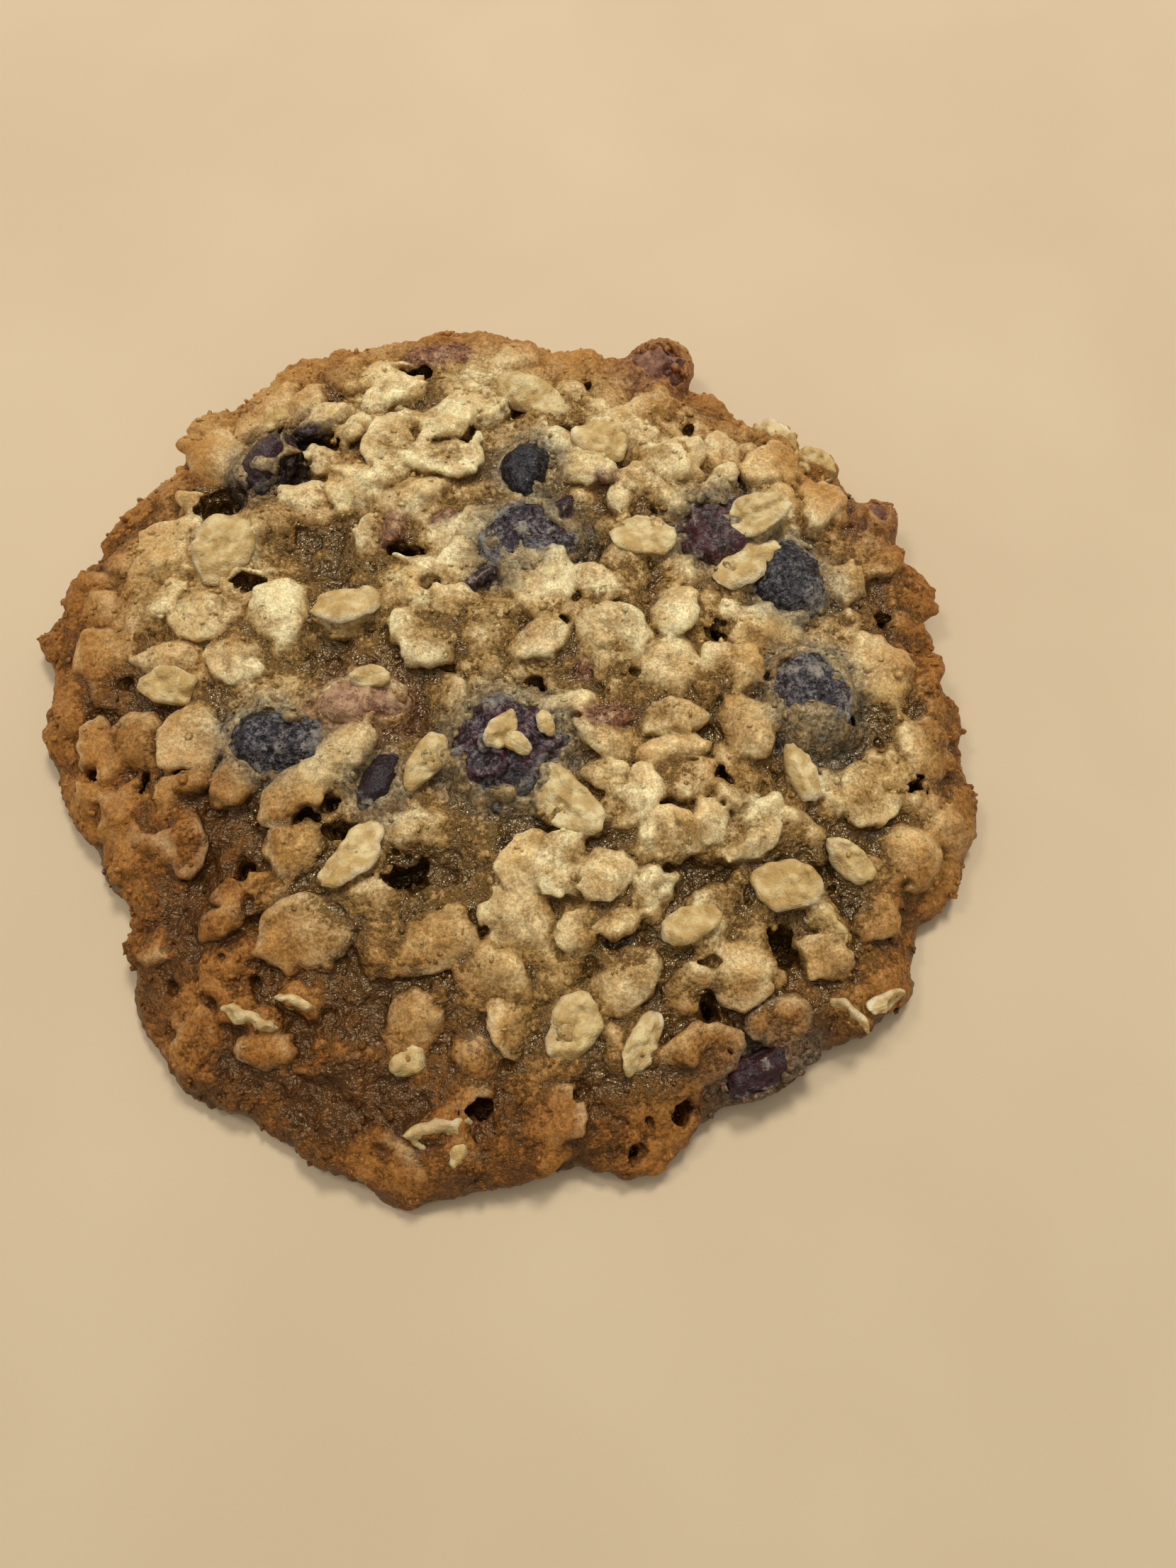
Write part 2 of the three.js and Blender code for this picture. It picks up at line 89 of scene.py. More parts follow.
# Flakes that stand out: (x, y, length, width, turn from +X, lean about the long axis, kind).
# The kinds are c coated lump, f coated but flat, t toasted, m melted in, b bare and e bare on edge.
FLAKES = [
    (-31.2, 15.8, 8.5, 6.8, 55, 8, "b"), (-32.6, 8.1, 8, 6, 25, -12, "f"), (-24.4, 7.8, 6.5, 6.5, 0, 6, "c"),
    (-16.9, 8, 7.7, 4.8, 5, -14, "b"), (-7.8, 5.3, 8.5, 6.5, 110, 10, "f"),
    (-13.3, 29.2, 9, 5.5, 100, 18, "f"), (-6.9, 27.4, 8.5, 5.3, 170, 16, "f"),
    (-6.4, 33.9, 7.5, 6, 35, -10, "f"), (-16.7, 23.9, 7, 5, -15, 8, "c"), (-10.3, 22.8, 8, 5, 25, -20, "t"),
    (-5.3, 17.6, 8, 5, 30, 10, "f"), (-4.9, 13.1, 5, 5, 0, 8, "c"), (-27.6, 34.6, 4.5, 3, 60, 0, "b"),
    (-34, 29, 9, 7, 140, -8, "c"), (-22.1, 33.5, 5.5, 3.5, 10, 0, "c"), (-17.8, 32.2, 4, 3, 60, 0, "c"),
    (-21, 27.8, 6, 3, -25, 0, "c"), (-14.6, 41, 6, 3.5, 10, 0, "t"), (-34.8, -1, 7, 4.3, -5, 8, "b"),
    (24.5, 38.4, 6.5, 4, -55, 22, "t"), (11.1, 30.6, 6.4, 6.2, 0, -6, "b"), (3, 36.5, 9, 5, -20, 24, "b"),
    (7, 38.5, 4.6, 2.5, -20, 10, "f"), (15.6, 17, 7, 6, -10, -8, "b"), (13.9, 23.5, 5.5, 4.3, 80, 10, "c"),
    (4, 11.5, 9, 6.5, -50, 10, "c"), (4.2, 4.2, 7, 4, 40, -12, "f"), (12.2, 4, 8, 7, 20, 8, "f"),
    (18.5, 8.3, 7, 4.5, 80, -18, "c"), (28.3, 19.3, 8, 4.5, 20, 8, "b"), (27, 14, 9, 5, 40, -14, "b"),
    (31, 28.4, 8, 5, 30, 14, "t"), (36.2, 22.7, 6.5, 5, 60, -12, "t"), (32, 32.5, 7, 4, -50, 60, "e"),
    (36, 28.5, 6, 4, -40, 60, "e"), (24.5, 25, 4, 2.5, 45, 0, "c"), (38.5, 12, 5, 4, 90, 8, "c"),
    (40.5, 1, 9, 7, -25, 10, "t"), (24.5, 1, 7, 5, 0, 8, "c"), (18.3, -5, 6, 3.3, 5, 8, "c"),
    (25.6, -5.5, 7.5, 5.5, 100, -14, "t"), (18.4, -8.5, 7, 3, 15, 10, "c"), (11.5, -11.3, 5, 3.5, 0, 6, "c"),
    (19.5, -11.5, 6, 4, 20, -8, "c"), (7.2, -14.3, 10, 5, -40, 14, "b"), (13.8, -13.8, 6.5, 5, 60, -16, "f"),
    (17.6, -17.8, 6, 5.8, 0, 10, "f"), (26, -17, 6.5, 5.5, 30, -10, "f"), (21.8, -16.2, 5, 3, 90, 8, "c"),
    (31.4, -11, 7, 3, -75, 10, "b"), (38.5, -12.7, 7, 6.3, 100, 8, "f"), (45.2, -7, 9, 6, 70, 12, "t"),
    (42.5, -19.5, 6.5, 5, 110, -14, "c"), (29.4, -23, 6.8, 6, -30, 12, "b"),
    (35.9, -20, 5.8, 3.5, -50, 8, "b"), (38.7, -25.3, 5.5, 4.5, 40, -16, "f"),
    (33, -26.4, 5, 3.5, -40, 65, "e"), (3.3, -21, 6, 5, 90, 8, "c"), (7, -21.3, 7, 5, 70, 10, "f"),
    (11, -21.8, 6, 5, 40, -8, "c"), (15.5, -23.3, 5, 5, 0, 10, "c"), (19.4, -26.7, 6, 4, 25, -22, "b"),
    (2.5, -26.4, 7.5, 7, 0, 6, "c"), (8.7, -27.5, 5, 4, 0, 8, "c"), (13.4, -31.8, 6.5, 5.4, 50, -8, "c"),
    (23, -31.2, 8.6, 6, -10, -8, "t"), (8.1, -36.5, 6.6, 5.3, 60, 6, "b"),
    (14.7, -38.1, 6.5, 3.5, 60, 26, "b"), (20, -39.2, 9, 5.5, 30, 12, "t"),
    (6.3, -44.4, 7, 4.7, 15, -12, "t"), (33, -29.7, 5, 3.5, -30, 8, "c"),
    (38.7, -33.7, 4.5, 2.2, 20, 10, "b"), (35, -35.3, 5, 3.5, -50, 60, "e"), (28, -35.7, 6, 5, 20, 8, "t"),
    (14.3, -48.6, 6, 4, 0, 0, "t"), (-15.3, -8.5, 6, 5, 60, 8, "t"), (-20.5, -13.2, 8, 5, 30, 8, "t"),
    (-7, -9.7, 7, 3.5, 65, 14, "b"), (-14, -20, 8, 5, 45, -18, "b"), (-32.5, -6.7, 7, 6.5, 80, 8, "c"),
    (-32.5, -11.8, 5, 3, 20, 6, "c"), (-33, -17, 9.5, 6, 95, -10, "f"), (-42, -7.4, 7.5, 5, 100, 12, "t"),
    (-27.4, -11.5, 5, 5, 0, 6, "c"), (-20.5, -18.5, 6, 5, 90, 8, "c"), (-24.3, -23, 7, 4, 10, -16, "f"),
    (-27.5, -26.3, 4.6, 3, 20, 6, "c"), (-19, -27.3, 10, 6.5, 20, 8, "c"),
    (-5.7, -28.3, 8.5, 5.5, 30, -10, "t"), (-23.5, -35.8, 6, 4, -20, 62, "e"),
    (-18.8, -34.1, 4, 3, -25, 62, "e"), (-22, -38.2, 5, 4, 0, 6, "t"), (-28.2, -38, 7, 5.5, 120, 8, "t"),
    (-7.5, -35.6, 5.5, 4.5, 10, 8, "c"), (-7.8, -39.6, 3.5, 3, 40, 0, "b"), (-4.5, -48.6, 9, 4.5, 5, 14, "t"),
    (-4.6, -46, 6, 4, 10, 55, "e"), (-2.8, -48.2, 3, 1.8, 90, 0, "b"), (0.7, -7.6, 4.4, 2.9, 62, 14, "b"),
    (-13.2, -1, 4.5, 2.4, 5, 0, "b"), (-38.6, 15.5, 8, 6.5, 60, 6, "c"), (-42.6, 2.6, 9, 6.5, 120, 12, "f"),
    (-35.6, 3, 7, 3.4, 10, 0, "c"), (18.8, 28.3, 7, 6.5, 0, 4, "c"), (-13.5, 38.2, 7, 4, 20, 8, "t"),
    (2.3, -8.9, 3.2, 2.2, 150, -24, "b"), (5.2, -6.4, 2.8, 1.9, 110, 30, "b"),
]
BARE_KINDS = "be"

# The other flakes: sites on a sunflower spiral over the top, and the range that each draw is made in.
SPIRAL_SITES = 430
SPIRAL_REACH = 0.97
GOLDEN_ANGLE = math.pi * (3 - math.sqrt(5))
SITE_JITTER = 2.4
SITE_LENGTH = (5.4, 8.8)
SITE_SLENDERNESS = (0.6, 0.95)
SITE_LEAN = 32
SITE_PITCH = 18
SITE_LIFT = (-0.8, 0.9)
SITE_KINDS = (("t", 0.1), ("f", 0.25), ("c", 0.5), ("m", 1.0))
FLAKE_LIFT = 1.0
FLAKE_PITCH = 11
FLAKE_SPACING = 0.22
BERRY_CLEARANCE = 0.3
RIM_SINK = 0.2

# Coated flakes are pillows: half heights, how deep melted ones lie, and the span of the fillet to the dough.
FLAT_HALF_HEIGHT = 0.65
LUMP_HALF_HEIGHT = 0.72
LUMP_EXTRA_HEIGHT = 0.38
MELTED_DEPTH = 0.5
MELT = (0.5, 2.0)

# The mound of dough under each flake: its spread, half height, depth below the flake and the fillets.
MOUND = (0.9, 1.5, 0.7)
MOUND_FILLET = 0.5
BLANKET_FILLET = 1.6

# The groove between flakes that lie side by side: its depth and half width.
SEAM_DEPTH = 0.35
SEAM_WIDTH = 0.4

# How far each kind of flake is free of dough, from 0 to 1.
KIND_PALENESS = {"c": (0.45, 1.0), "f": (0.7, 1.0), "t": (0.45, 0.8), "m": (0.05, 0.5)}

# Rises and hollows of the top: (x, y, half length, half width, turn from +X, height).
# No flake of the spiral lies in a hollow that is deeper than HOLLOW.
RISES = [
    (9.5, -22.8, 12, 4.5, -12, 1.0), (10, 6, 9, 7, 0, 0.6), (-8, 29, 9, 6, 10, 0.6),
    (24, -12, 10, 6, 10, 0.5), (-33, 8, 5, 11, 0, 0.5), (-19, -11.5, 6, 3.5, 30, 0.8),
    (-20, 16, 5.5, 4.8, 0, -1.0), (-21, 2.6, 5.4, 2.8, 0, -1.0), (21.4, -22.4, 4, 2.4, 0, -1.1),
    (3.6, -17, 4.5, 1.8, -10, -1.0), (3, -37, 4, 4, 0, -0.5), (-12, -42, 14, 6, -20, -0.5),
    (9.5, 15.5, 2.6, 3.2, 0, -1.0), (-5, -21, 4.2, 2.6, 20, -0.9), (14.5, 27, 2.4, 2, 0, -1.0),
    (-8.4, -4, 2.4, 3, 20, -1.0), (-4.6, 0.4, 3, 1.8, 10, -0.9), (33.5, -20.5, 2, 3, 20, -0.9),
    (16, -20.8, 3, 1.3, 15, -0.9), (-17.5, -43, 5, 2.5, -25, -0.8), (-29, -21, 2, 4, 0, -0.6),
]
HOLLOW = -0.8

# Cranberries: (x, y, half length, half width, half height, turn from +X),
# then (height of the collar of dough round it, cover of dough film, redness of skin, redness of film, flour).
BERRIES = [
    ((1.1, -8, 6.5, 6.2, 4.3, 20), (0.5, 0.55, 0.85, 0.0, 1.0)),
    ((-22.8, -7.2, 5.7, 3.6, 3.4, -8), (0.45, 0.5, 0.1, 0.0, 1.0)),
    ((24, 18.5, 5.2, 4.4, 3.8, 75), (0.45, 0.5, 0.9, 0.1, 0.6)),
    ((31.8, 12.6, 5, 4.2, 3.8, 100), (0.35, 0.35, 0.05, 0.0, 0.7)),
    ((33, -2.6, 6, 4.5, 3.9, 95), (0.7, 0.75, 0.25, 0.0, 1.0)),
    ((2.4, 26.4, 3.6, 2.7, 2.8, 80), (0.3, 0.25, 0.05, 0.0, 0.3)),
    ((2.2, 17.2, 6.4, 4.9, 3.9, 15), (0.75, 0.7, 0.35, 0.0, 1.0)),
    ((-12, -11.9, 3.1, 2.1, 2.4, 70), (0.75, 0.3, 0.1, 0.1, 0.1)),
    ((26.6, -39.8, 4.6, 2, 2.2, 28), (0.55, 0.2, 0.6, 0.1, 0.15)),
    ((-27.8, 28.2, 4.4, 2.2, 2.8, 58), (0.8, 0.4, 0.35, 0.1, 0.3)),
    ((18, 43.4, 4, 3.3, 3, 35), (0.75, 0.95, 1.0, 1.0, 0.2)),
    ((42.6, 21.4, 2.6, 2.2, 2.2, 60), (0.75, 0.95, 1.0, 1.0, 0.2)),
    ((-14.2, -3, 4.5, 2.7, 3, 0), (0.6, 0.98, 1.0, 1.0, 1.0)),
]
BERRY_REACH = 9
POCKET_GAP = 0.35
COLLAR_THICKNESS = 0.65

# Shreds of cranberry skin in the dough: (x, y, half length, half width, turn from +X, darkness).
SHREDS = [
    (11.2, -5, 3.4, 1.3, 6, 0), (-12.2, 18, 2.6, 1.3, 75, 0), (11.4, 25, 1.3, 1, 0, 0),
    (9, 1, 1.1, 0.6, 80, 0), (-9, 44.6, 4, 1.7, 12, 0), (-6.5, 19.5, 1.6, 0.8, 40, 0),
    (-23.2, 32, 3.4, 0.8, 25, 1), (-31, 23.6, 2.2, 0.7, 40, 1), (-2.6, 11.6, 3, 0.9, 40, 1),
    (6.6, 20.6, 2.2, 1, 60, 1),
]
SHRED_HALF_HEIGHT = 0.9

# Pits: (x, y, half length, half width, turn from +X). They widen by PIT_SPREAD and end above the base.
PITS = [
    (-32.6, 22.2, 2.4, 2.1, 80), (-28.5, 25, 1.5, 1.1, 10), (-24.5, 27, 1.8, 2, 0), (-23, 30.7, 2.5, 1, 0),
    (-27.4, 11.8, 1.6, 1.1, 0), (-8, 10.6, 0.9, 0.9, 0), (-4.6, 30.6, 0.9, 0.9, 0),
    (-11.2, 41.4, 1.3, 0.8, 0), (-25.1, 40.8, 0.7, 0.7, 0), (-10.8, 15.6, 1.3, 1.1, 0),
    (5.4, 16.7, 0.7, 1, 0), (42.2, 8.2, 0.6, 0.8, 0), (23.6, 5.6, 0.8, 0.8, 0), (-37.4, -11.4, 0.7, 1, 0),
    (-42.8, -10.3, 0.8, 0.8, 0), (-18.9, -15.7, 1.1, 0.8, 0), (-16.4, -14.3, 1, 0.8, 0),
    (-15, -16.8, 1.8, 0.9, 10), (-8.9, -21.6, 1.9, 0.9, 30), (-25.5, -20.8, 0.8, 1, 0),
    (-0.6, -44, 1.3, 1, 0), (28.7, -28.6, 1.4, 2.1, 0), (43, -11.8, 1, 0.9, 0), (18.2, -44.1, 0.8, 1, 0),
    (23.4, -11.4, 0.7, 0.7, 0), (21, -34.5, 0.8, 1, 0), (13.6, -48, 0.8, 0.8, 0), (4.1, -0.7, 0.8, 0.8, 0),
    (36.4, -4.8, 1, 1.2, 0),
]
PIT_DEPTH = 4.2
PIT_SPREAD = 1.3
PIT_RAGGEDNESS = 2.6
PIT_FLOOR = 1.2
PINHOLES = 45
PINHOLE_RADIUS = (0.36, 0.55)
PINHOLE_REACH = 48

# Small lumps of dough and broken oats over the whole top: how many, their radius and how far they stand out.
NUBS = 1000
NUB_RADIUS = (0.4, 1.1)
NUB_STANDING = (-0.25, 0.35)

# Loose crumbs of oat and dough that stick to the top: how many, their radius and how far they stand out.
CRUMBS = 2600
CRUMB_RADIUS = (0.15, 0.42)
CRUMB_STANDING = (-0.3, 0.3)
CRUMB_STRETCH = (0.5, 1.7)
CRUMB_ROUGHNESS = (0.75, 1.25)

# The arm of dough that carries the cranberry at the back rim.
ARM_START = np.array((11, 38.5, 3.2))
ARM_END = np.array((16.5, 42.4, 3))
ARM_HALF_WIDTH = 4.4
ARM_HALF_HEIGHT = 2.9

# The grid of distances, and the lumps of noise on it.
VOXEL = 0.25
GRID_LOW = np.array([-55.5, -55.5, -0.9])
GRID_HIGH = np.array([55.5, 55.5, 14.1])
NOISE_LUMPS = {"coarse": 6.5, "swell": 3.4, "medium": 2.1, "fine": 0.9}
BODY_TRIANGLES = 190000

# Meshes of a bare flake and of a cranberry.
FLAKE_RINGS = 12
FLAKE_SECTORS = 56
BERRY_ROWS = 56
BERRY_COLUMNS = 88

# The camera's place from the cookie's middle and its lens, the lights (name, place, width, watts) and the
# floor, with lights and floor in metres.
CAMERA_PLACE = (9.47, -50.25, 113.18)
CAMERA_TILT = 20
CAMERA_LENS = 24.97
LIGHTS = (
    ("key", (0.1, 0.34, 0.64), 0.15, 2.7),
    ("side", (-0.3, 0.16, 0.6), 0.12, 0.8),
    ("soft", (-0.05, 0.05, 0.9), 0.9, 2.1),
)
LIGHT_COLOUR = (1.0, 0.96, 0.9)
WORLD_COLOUR = (1.0, 0.97, 0.93, 1)
WORLD_STRENGTH = 0.26
FLOOR_HALF = 0.9


def smoothstep(low, high, value):
    t = np.clip((value - low) / (high - low), 0, 1)
    return t * t * (3 - 2 * t)


def smooth_union(a, b, blend):
    """The nearer of two distances, with a fillet of the given size."""
    overlap = np.maximum(blend - np.abs(a - b), 0) / blend
    return np.minimum(a, b) - overlap * overlap * blend / 4


def draw(piece, item):
    """A number from 0 to 1 for one property of one piece, the same on every run."""
    wave = math.sin(piece * 12.9898 + item * 78.233) * 43758.5453
    return wave - math.floor(wave)


def draw_in(span, piece, item):
    return span[0] + (span[1] - span[0]) * draw(piece, item)


def berry_middles():
    """The middles of the cranberries' boxes, in the frame's millimetres."""
    boxes = [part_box(f"cranberry_{index + 1:02d}") for index in range(len(BERRIES))]
    return np.array([[(low[k] + high[k]) / 2 / MM for k in range(3)] for low, high in boxes])


# The cookie's own middle in the frame, and the cranberries' middles from there, at the height of their nodes.
BERRY_PLACES = np.array([form[:2] for form, _ in BERRIES], float)
NODE_MIDDLES = berry_middles()
MIDDLE = np.append(np.mean(NODE_MIDDLES[:, :2] - BERRY_PLACES, axis=0), 0)
BERRY_CENTRES = np.column_stack([BERRY_PLACES, NODE_MIDDLES[:, 2]])


def rim_table():
    """The rim's distance for every half degree, on a closed smooth curve through RIM."""
    degrees = np.arange(0, 360, 0.5)
    starts, radii = np.array(RIM, float).T
    index = np.searchsorted(starts, degrees, side="right") - 1
    ends = np.append(starts[1:], 360.0)
    t = (degrees - starts[index]) / (ends[index] - starts[index])
    before, here = radii[index - 1], radii[index]
    after, beyond = radii[(index + 1) % len(RIM)], radii[(index + 2) % len(RIM)]
    slope_here, slope_after = (after - before) / 2, (beyond - here) / 2
    cubic = 2 * here - 2 * after + slope_here + slope_after
    square = -3 * here + 3 * after - 2 * slope_here - slope_after
    return ((cubic * t + square) * t + slope_here) * t + here


RIM_TABLE = rim_table()


def rim_radius(x, y):
    degrees = np.degrees(np.arctan2(y, x)) % 360
    return np.interp(degrees, np.arange(0, 360.5, 0.5), np.append(RIM_TABLE, RIM_TABLE[0]))


def rim_share(x, y):
    return np.hypot(x, y) / rim_radius(x, y)


def facing(x, y, direction):
    """How far a place lies towards a direction from the middle, from 0 to 1."""
    return np.maximum(0, np.cos(np.arctan2(y, x) - math.radians(direction)))


def thin_side(x, y):
    """How far a place belongs to the side that baked thinner, from 0 to 1."""
    return facing(x, y, THIN_SIDE_DIRECTION) * smoothstep(*THIN_SIDE_SPAN, rim_share(x, y))


def browning(x, y):
    """How far a place is browned: the rim, and the side towards DARK_SIDE_DIRECTION."""
    share = rim_share(x, y)
    dark_side = DARK_SIDE_GAIN * facing(x, y, DARK_SIDE_DIRECTION) ** 2
    return smoothstep(*BROWN_RIM_SPAN, share) + dark_side * smoothstep(*DARK_SIDE_SPAN, share)


def rise_share(rise, x, y):
    """How far a place is from the middle of a rise to its edge, 1 at the edge."""
    c, s = math.cos(math.radians(rise[4])), math.sin(math.radians(rise[4]))
    u, v = (x - rise[0]) * c + (y - rise[1]) * s, (y - rise[1]) * c - (x - rise[0]) * s
    return np.hypot(u / rise[2], v / rise[3])


def rise_at(x, y):
    """The height that the rises and hollows add at a place."""
    return sum(rise[5] * np.exp(-rise_share(rise, x, y) ** 2) for rise in RISES)


def dough_top(x, y):
    """The height of the dough's top without flakes."""
    shares, heights = np.array(SECTION[SECTION_WIDEST:][::-1], float).T
    height = np.interp(np.minimum(rim_share(x, y), 1), shares, heights)
    return DOUGH_HEIGHT * height * (1 - THIN_SIDE_LOSS * thin_side(x, y)) + rise_at(x, y)


AXES = [np.arange(GRID_LOW[k], GRID_HIGH[k], VOXEL) for k in range(3)]
SHAPE = tuple(len(axis) for axis in AXES)
PLAN = np.meshgrid(AXES[0], AXES[1], indexing="ij")
random = np.random.default_rng(SEED)


def grid_noise(cell):
    """Smooth noise from -1 to 1 on the whole grid, with lumps of the given size."""
    weights = []
    for axis in AXES:
        place = (axis - axis[0]) / cell
        index = np.floor(place).astype(int)
        eased = smoothstep(0, 1, place - index)
        matrix = np.zeros((len(axis), index[-1] + 2), np.float32)
        matrix[np.arange(len(axis)), index] = 1 - eased
        matrix[np.arange(len(axis)), index + 1] = eased
        weights.append(matrix)
    lattice = random.uniform(-1, 1, [matrix.shape[1] for matrix in weights]).astype(np.float32)
    lattice = np.tensordot(weights[0], lattice, (1, 0))
    lattice = np.tensordot(lattice, weights[1], (1, 1))
    return np.ascontiguousarray(np.tensordot(lattice, weights[2], (1, 1)))


def corner_weights(part):
    """The eight corners of a cell, each with its weight for points at a part of the way through the cell."""
    for corner in range(8):
        step = np.array([corner & 1, corner >> 1 & 1, corner >> 2 & 1])
        yield step, np.prod(np.where(step == 1, part, 1 - part), axis=1)


def point_noise(points, cell, seed):
    """The same kind of noise at single points."""
    table = np.random.default_rng(seed).uniform(-1, 1, (32, 32, 32))
    place = points / cell
    index = np.floor(place).astype(int)
    total = np.zeros(len(points))
    for step, weight in corner_weights(smoothstep(0, 1, place - index)):
        at = (index + step) % 32
        total += weight * table[at[:, 0], at[:, 1], at[:, 2]]
    return total


def sample(field, points):
    """A grid's values at points, smoothly."""
    place = np.clip((points - GRID_LOW) / VOXEL, 0, np.array(SHAPE) - 1.001)
    index = place.astype(int)
    total = np.zeros(len(points))
    for step, weight in corner_weights(place - index):
        at = index + step
        total += weight * field[at[:, 0], at[:, 1], at[:, 2]]
    return total


def window_round(centre, reach):
    """The part of the grid within reach of a point, and its coordinates."""
    low = np.maximum(np.floor((centre - reach - GRID_LOW) / VOXEL).astype(int), 0)
    high = np.minimum(np.ceil((centre + reach - GRID_LOW) / VOXEL).astype(int) + 1, SHAPE)
    window = tuple(slice(low[k], high[k]) for k in range(3))
    return window, np.meshgrid(*[AXES[k][window[k]] for k in range(3)], indexing="ij")


def height_map(field):
    """The height of the highest solid point over each place, and nothing where there is none."""
    solid = field < 0
    top = SHAPE[2] - 1 - np.argmax(solid[:, :, ::-1], axis=2)
    return np.where(solid.any(axis=2), AXES[2][top], 0.0)


def at_map(image, x, y):
    """A height map's values at places."""
    i = np.clip(np.round((x - GRID_LOW[0]) / VOXEL).astype(int), 0, SHAPE[0] - 1)
    j = np.clip(np.round((y - GRID_LOW[1]) / VOXEL).astype(int), 0, SHAPE[1] - 1)
    return image[i, j]


def box_blur(image, radius):
    """A soft blur of a height map, in three passes."""
    width = max(1, int(round(radius / VOXEL)))
    kernel = np.ones(2 * width + 1) / (2 * width + 1)
    for _ in range(3):
        for axis in range(2):
            padded = np.pad(image, [(width, width) if k == axis else (0, 0) for k in range(2)], mode="edge")
            image = np.apply_along_axis(lambda row: np.convolve(row, kernel, mode="valid"), axis, padded)
    return image


def ellipsoid_distance(points, centre, radii, turn):
    """A close guess of the distance to an ellipsoid that is turned about the vertical."""
    c, s = math.cos(math.radians(turn)), math.sin(math.radians(turn))
    x, y, z = (points[k] - centre[k] for k in range(3))
    u, v = x * c + y * s, y * c - x * s
    near = np.sqrt((u / radii[0]) ** 2 + (v / radii[1]) ** 2 + (z / radii[2]) ** 2)
    far = np.sqrt((u / radii[0] ** 2) ** 2 + (v / radii[1] ** 2) ** 2 + (z / radii[2] ** 2) ** 2)
    return near * (near - 1) / np.maximum(far, 1e-6)


def turned_axes(flake, normal):
    """The long, wide and upright axes of a flake that lies across a normal."""
    turn, lean, pitch = math.radians(flake.turn), math.radians(flake.lean), math.radians(flake.pitch)
    long = np.array([math.cos(turn), math.sin(turn), 0.0])
    long -= normal * np.dot(long, normal)
    long /= np.linalg.norm(long)
    wide = np.cross(normal, long)
    raised = normal * math.cos(pitch) - long * math.sin(pitch)
    long = long * math.cos(pitch) + normal * math.sin(pitch)
    return (long, wide * math.cos(lean) + raised * math.sin(lean),
            raised * math.cos(lean) - wide * math.sin(lean))


def top_normal(x, y, follow=0.75, step=1.5):
    """The upward direction of a flake on the dough, which follows a part of the dough's slope."""
    slope_x = (dough_top(x + step, y) - dough_top(x - step, y)) / (2 * step)
    slope_y = (dough_top(x, y + step) - dough_top(x, y - step)) / (2 * step)
    normal = np.array([-follow * slope_x, -follow * slope_y, 1.0])
    return normal / np.linalg.norm(normal)


def spiral_flake(site, leading):
    """The flake of one site of the spiral, or nothing where there is no room."""
    angle = site * GOLDEN_ANGLE
    radius = SPIRAL_REACH * math.sqrt((site + 0.5) / SPIRAL_SITES)
    radius *= float(rim_radius(math.cos(angle), math.sin(angle)))
    x = radius * math.cos(angle) + SITE_JITTER * (draw(site, 1) - 0.5)
    y = radius * math.sin(angle) + SITE_JITTER * (draw(site, 2) - 0.5)
    length = draw_in(SITE_LENGTH, site, 3)
    crowded = any(math.hypot(x - f.x, y - f.y) < FLAKE_SPACING * (length + f.length) for f in leading)
    on_berry = any(math.hypot(x - b[0], y - b[1]) < (b[2] + b[3]) / 2 + BERRY_CLEARANCE * length
                   for b, _ in BERRIES)
    in_hollow = any(rise[5] < HOLLOW and rise_share(rise, x, y) < 1 for rise in RISES)
    if crowded or on_berry or in_hollow:
        return None
    kind = next(kind for kind, limit in SITE_KINDS if draw(site, 8) < limit)
    return SimpleNamespace(
        x=x, y=y, length=length, width=length * draw_in(SITE_SLENDERNESS, site, 4), turn=360 * draw(site, 5),
        lean=SITE_LEAN * (2 * draw(site, 6) - 1), kind=kind, lift=draw_in(SITE_LIFT, site, 7),
        pitch=SITE_PITCH * (2 * draw(site, 9) - 1), key=site)


def place_flakes():
    """Every flake: those that stand out, then the spiral's in the room that is left."""
    flakes = []
    for index, (x, y, length, width, turn, lean, kind) in enumerate(FLAKES):
        flakes.append(SimpleNamespace(
            x=x, y=y, length=length, width=width, turn=turn, lean=lean, kind=kind, lift=FLAKE_LIFT,
            pitch=FLAKE_PITCH * (2 * draw(index, 9) - 1), key=1000 + index))
    spiral = [spiral_flake(site, flakes) for site in range(SPIRAL_SITES)]
    flakes += [flake for flake in spiral if flake]
    for flake in flakes:
        share = float(rim_share(flake.x, flake.y))
        low = float(smoothstep(0.78, 1.0, share)) + 0.5 * float(thin_side(flake.x, flake.y))
        height = float(dough_top(flake.x, flake.y)) + (flake.lift - RIM_SINK * low)
        flake.axes = turned_axes(flake, top_normal(flake.x, flake.y))
        flake.centre = np.array([flake.x, flake.y, height])
    return flakes


def edge_share(flake, u, v, half_length, half_width):
    """How far a place in a flake's plane is to its edge, 1 at the edge: an oval with waves and one break."""
    u, v = u / half_length, v / half_width
    angle = np.arctan2(v, u)
    edge = np.ones_like(angle)
    for waves, size in ((2, 0.07), (3, 0.06), (5, 0.035), (9, 0.02), (14, 0.012)):
        edge += size * np.sin(waves * angle + FULL_TURN * draw(flake.key, 20 + waves))
    across = FULL_TURN * draw(flake.key, 60)
    broken = (u * math.cos(across) + v * math.sin(across)) / (0.66 + 0.7 * draw(flake.key, 64))
    return np.maximum(np.hypot(u, v) / edge, broken)


def own_places(flake, points):
    """Places along a flake's length and width and up from it."""
    offset = [points[k] - flake.centre[k] for k in range(3)]
    return [sum(offset[k] * axis[k] for k in range(3)) for axis in flake.axes]


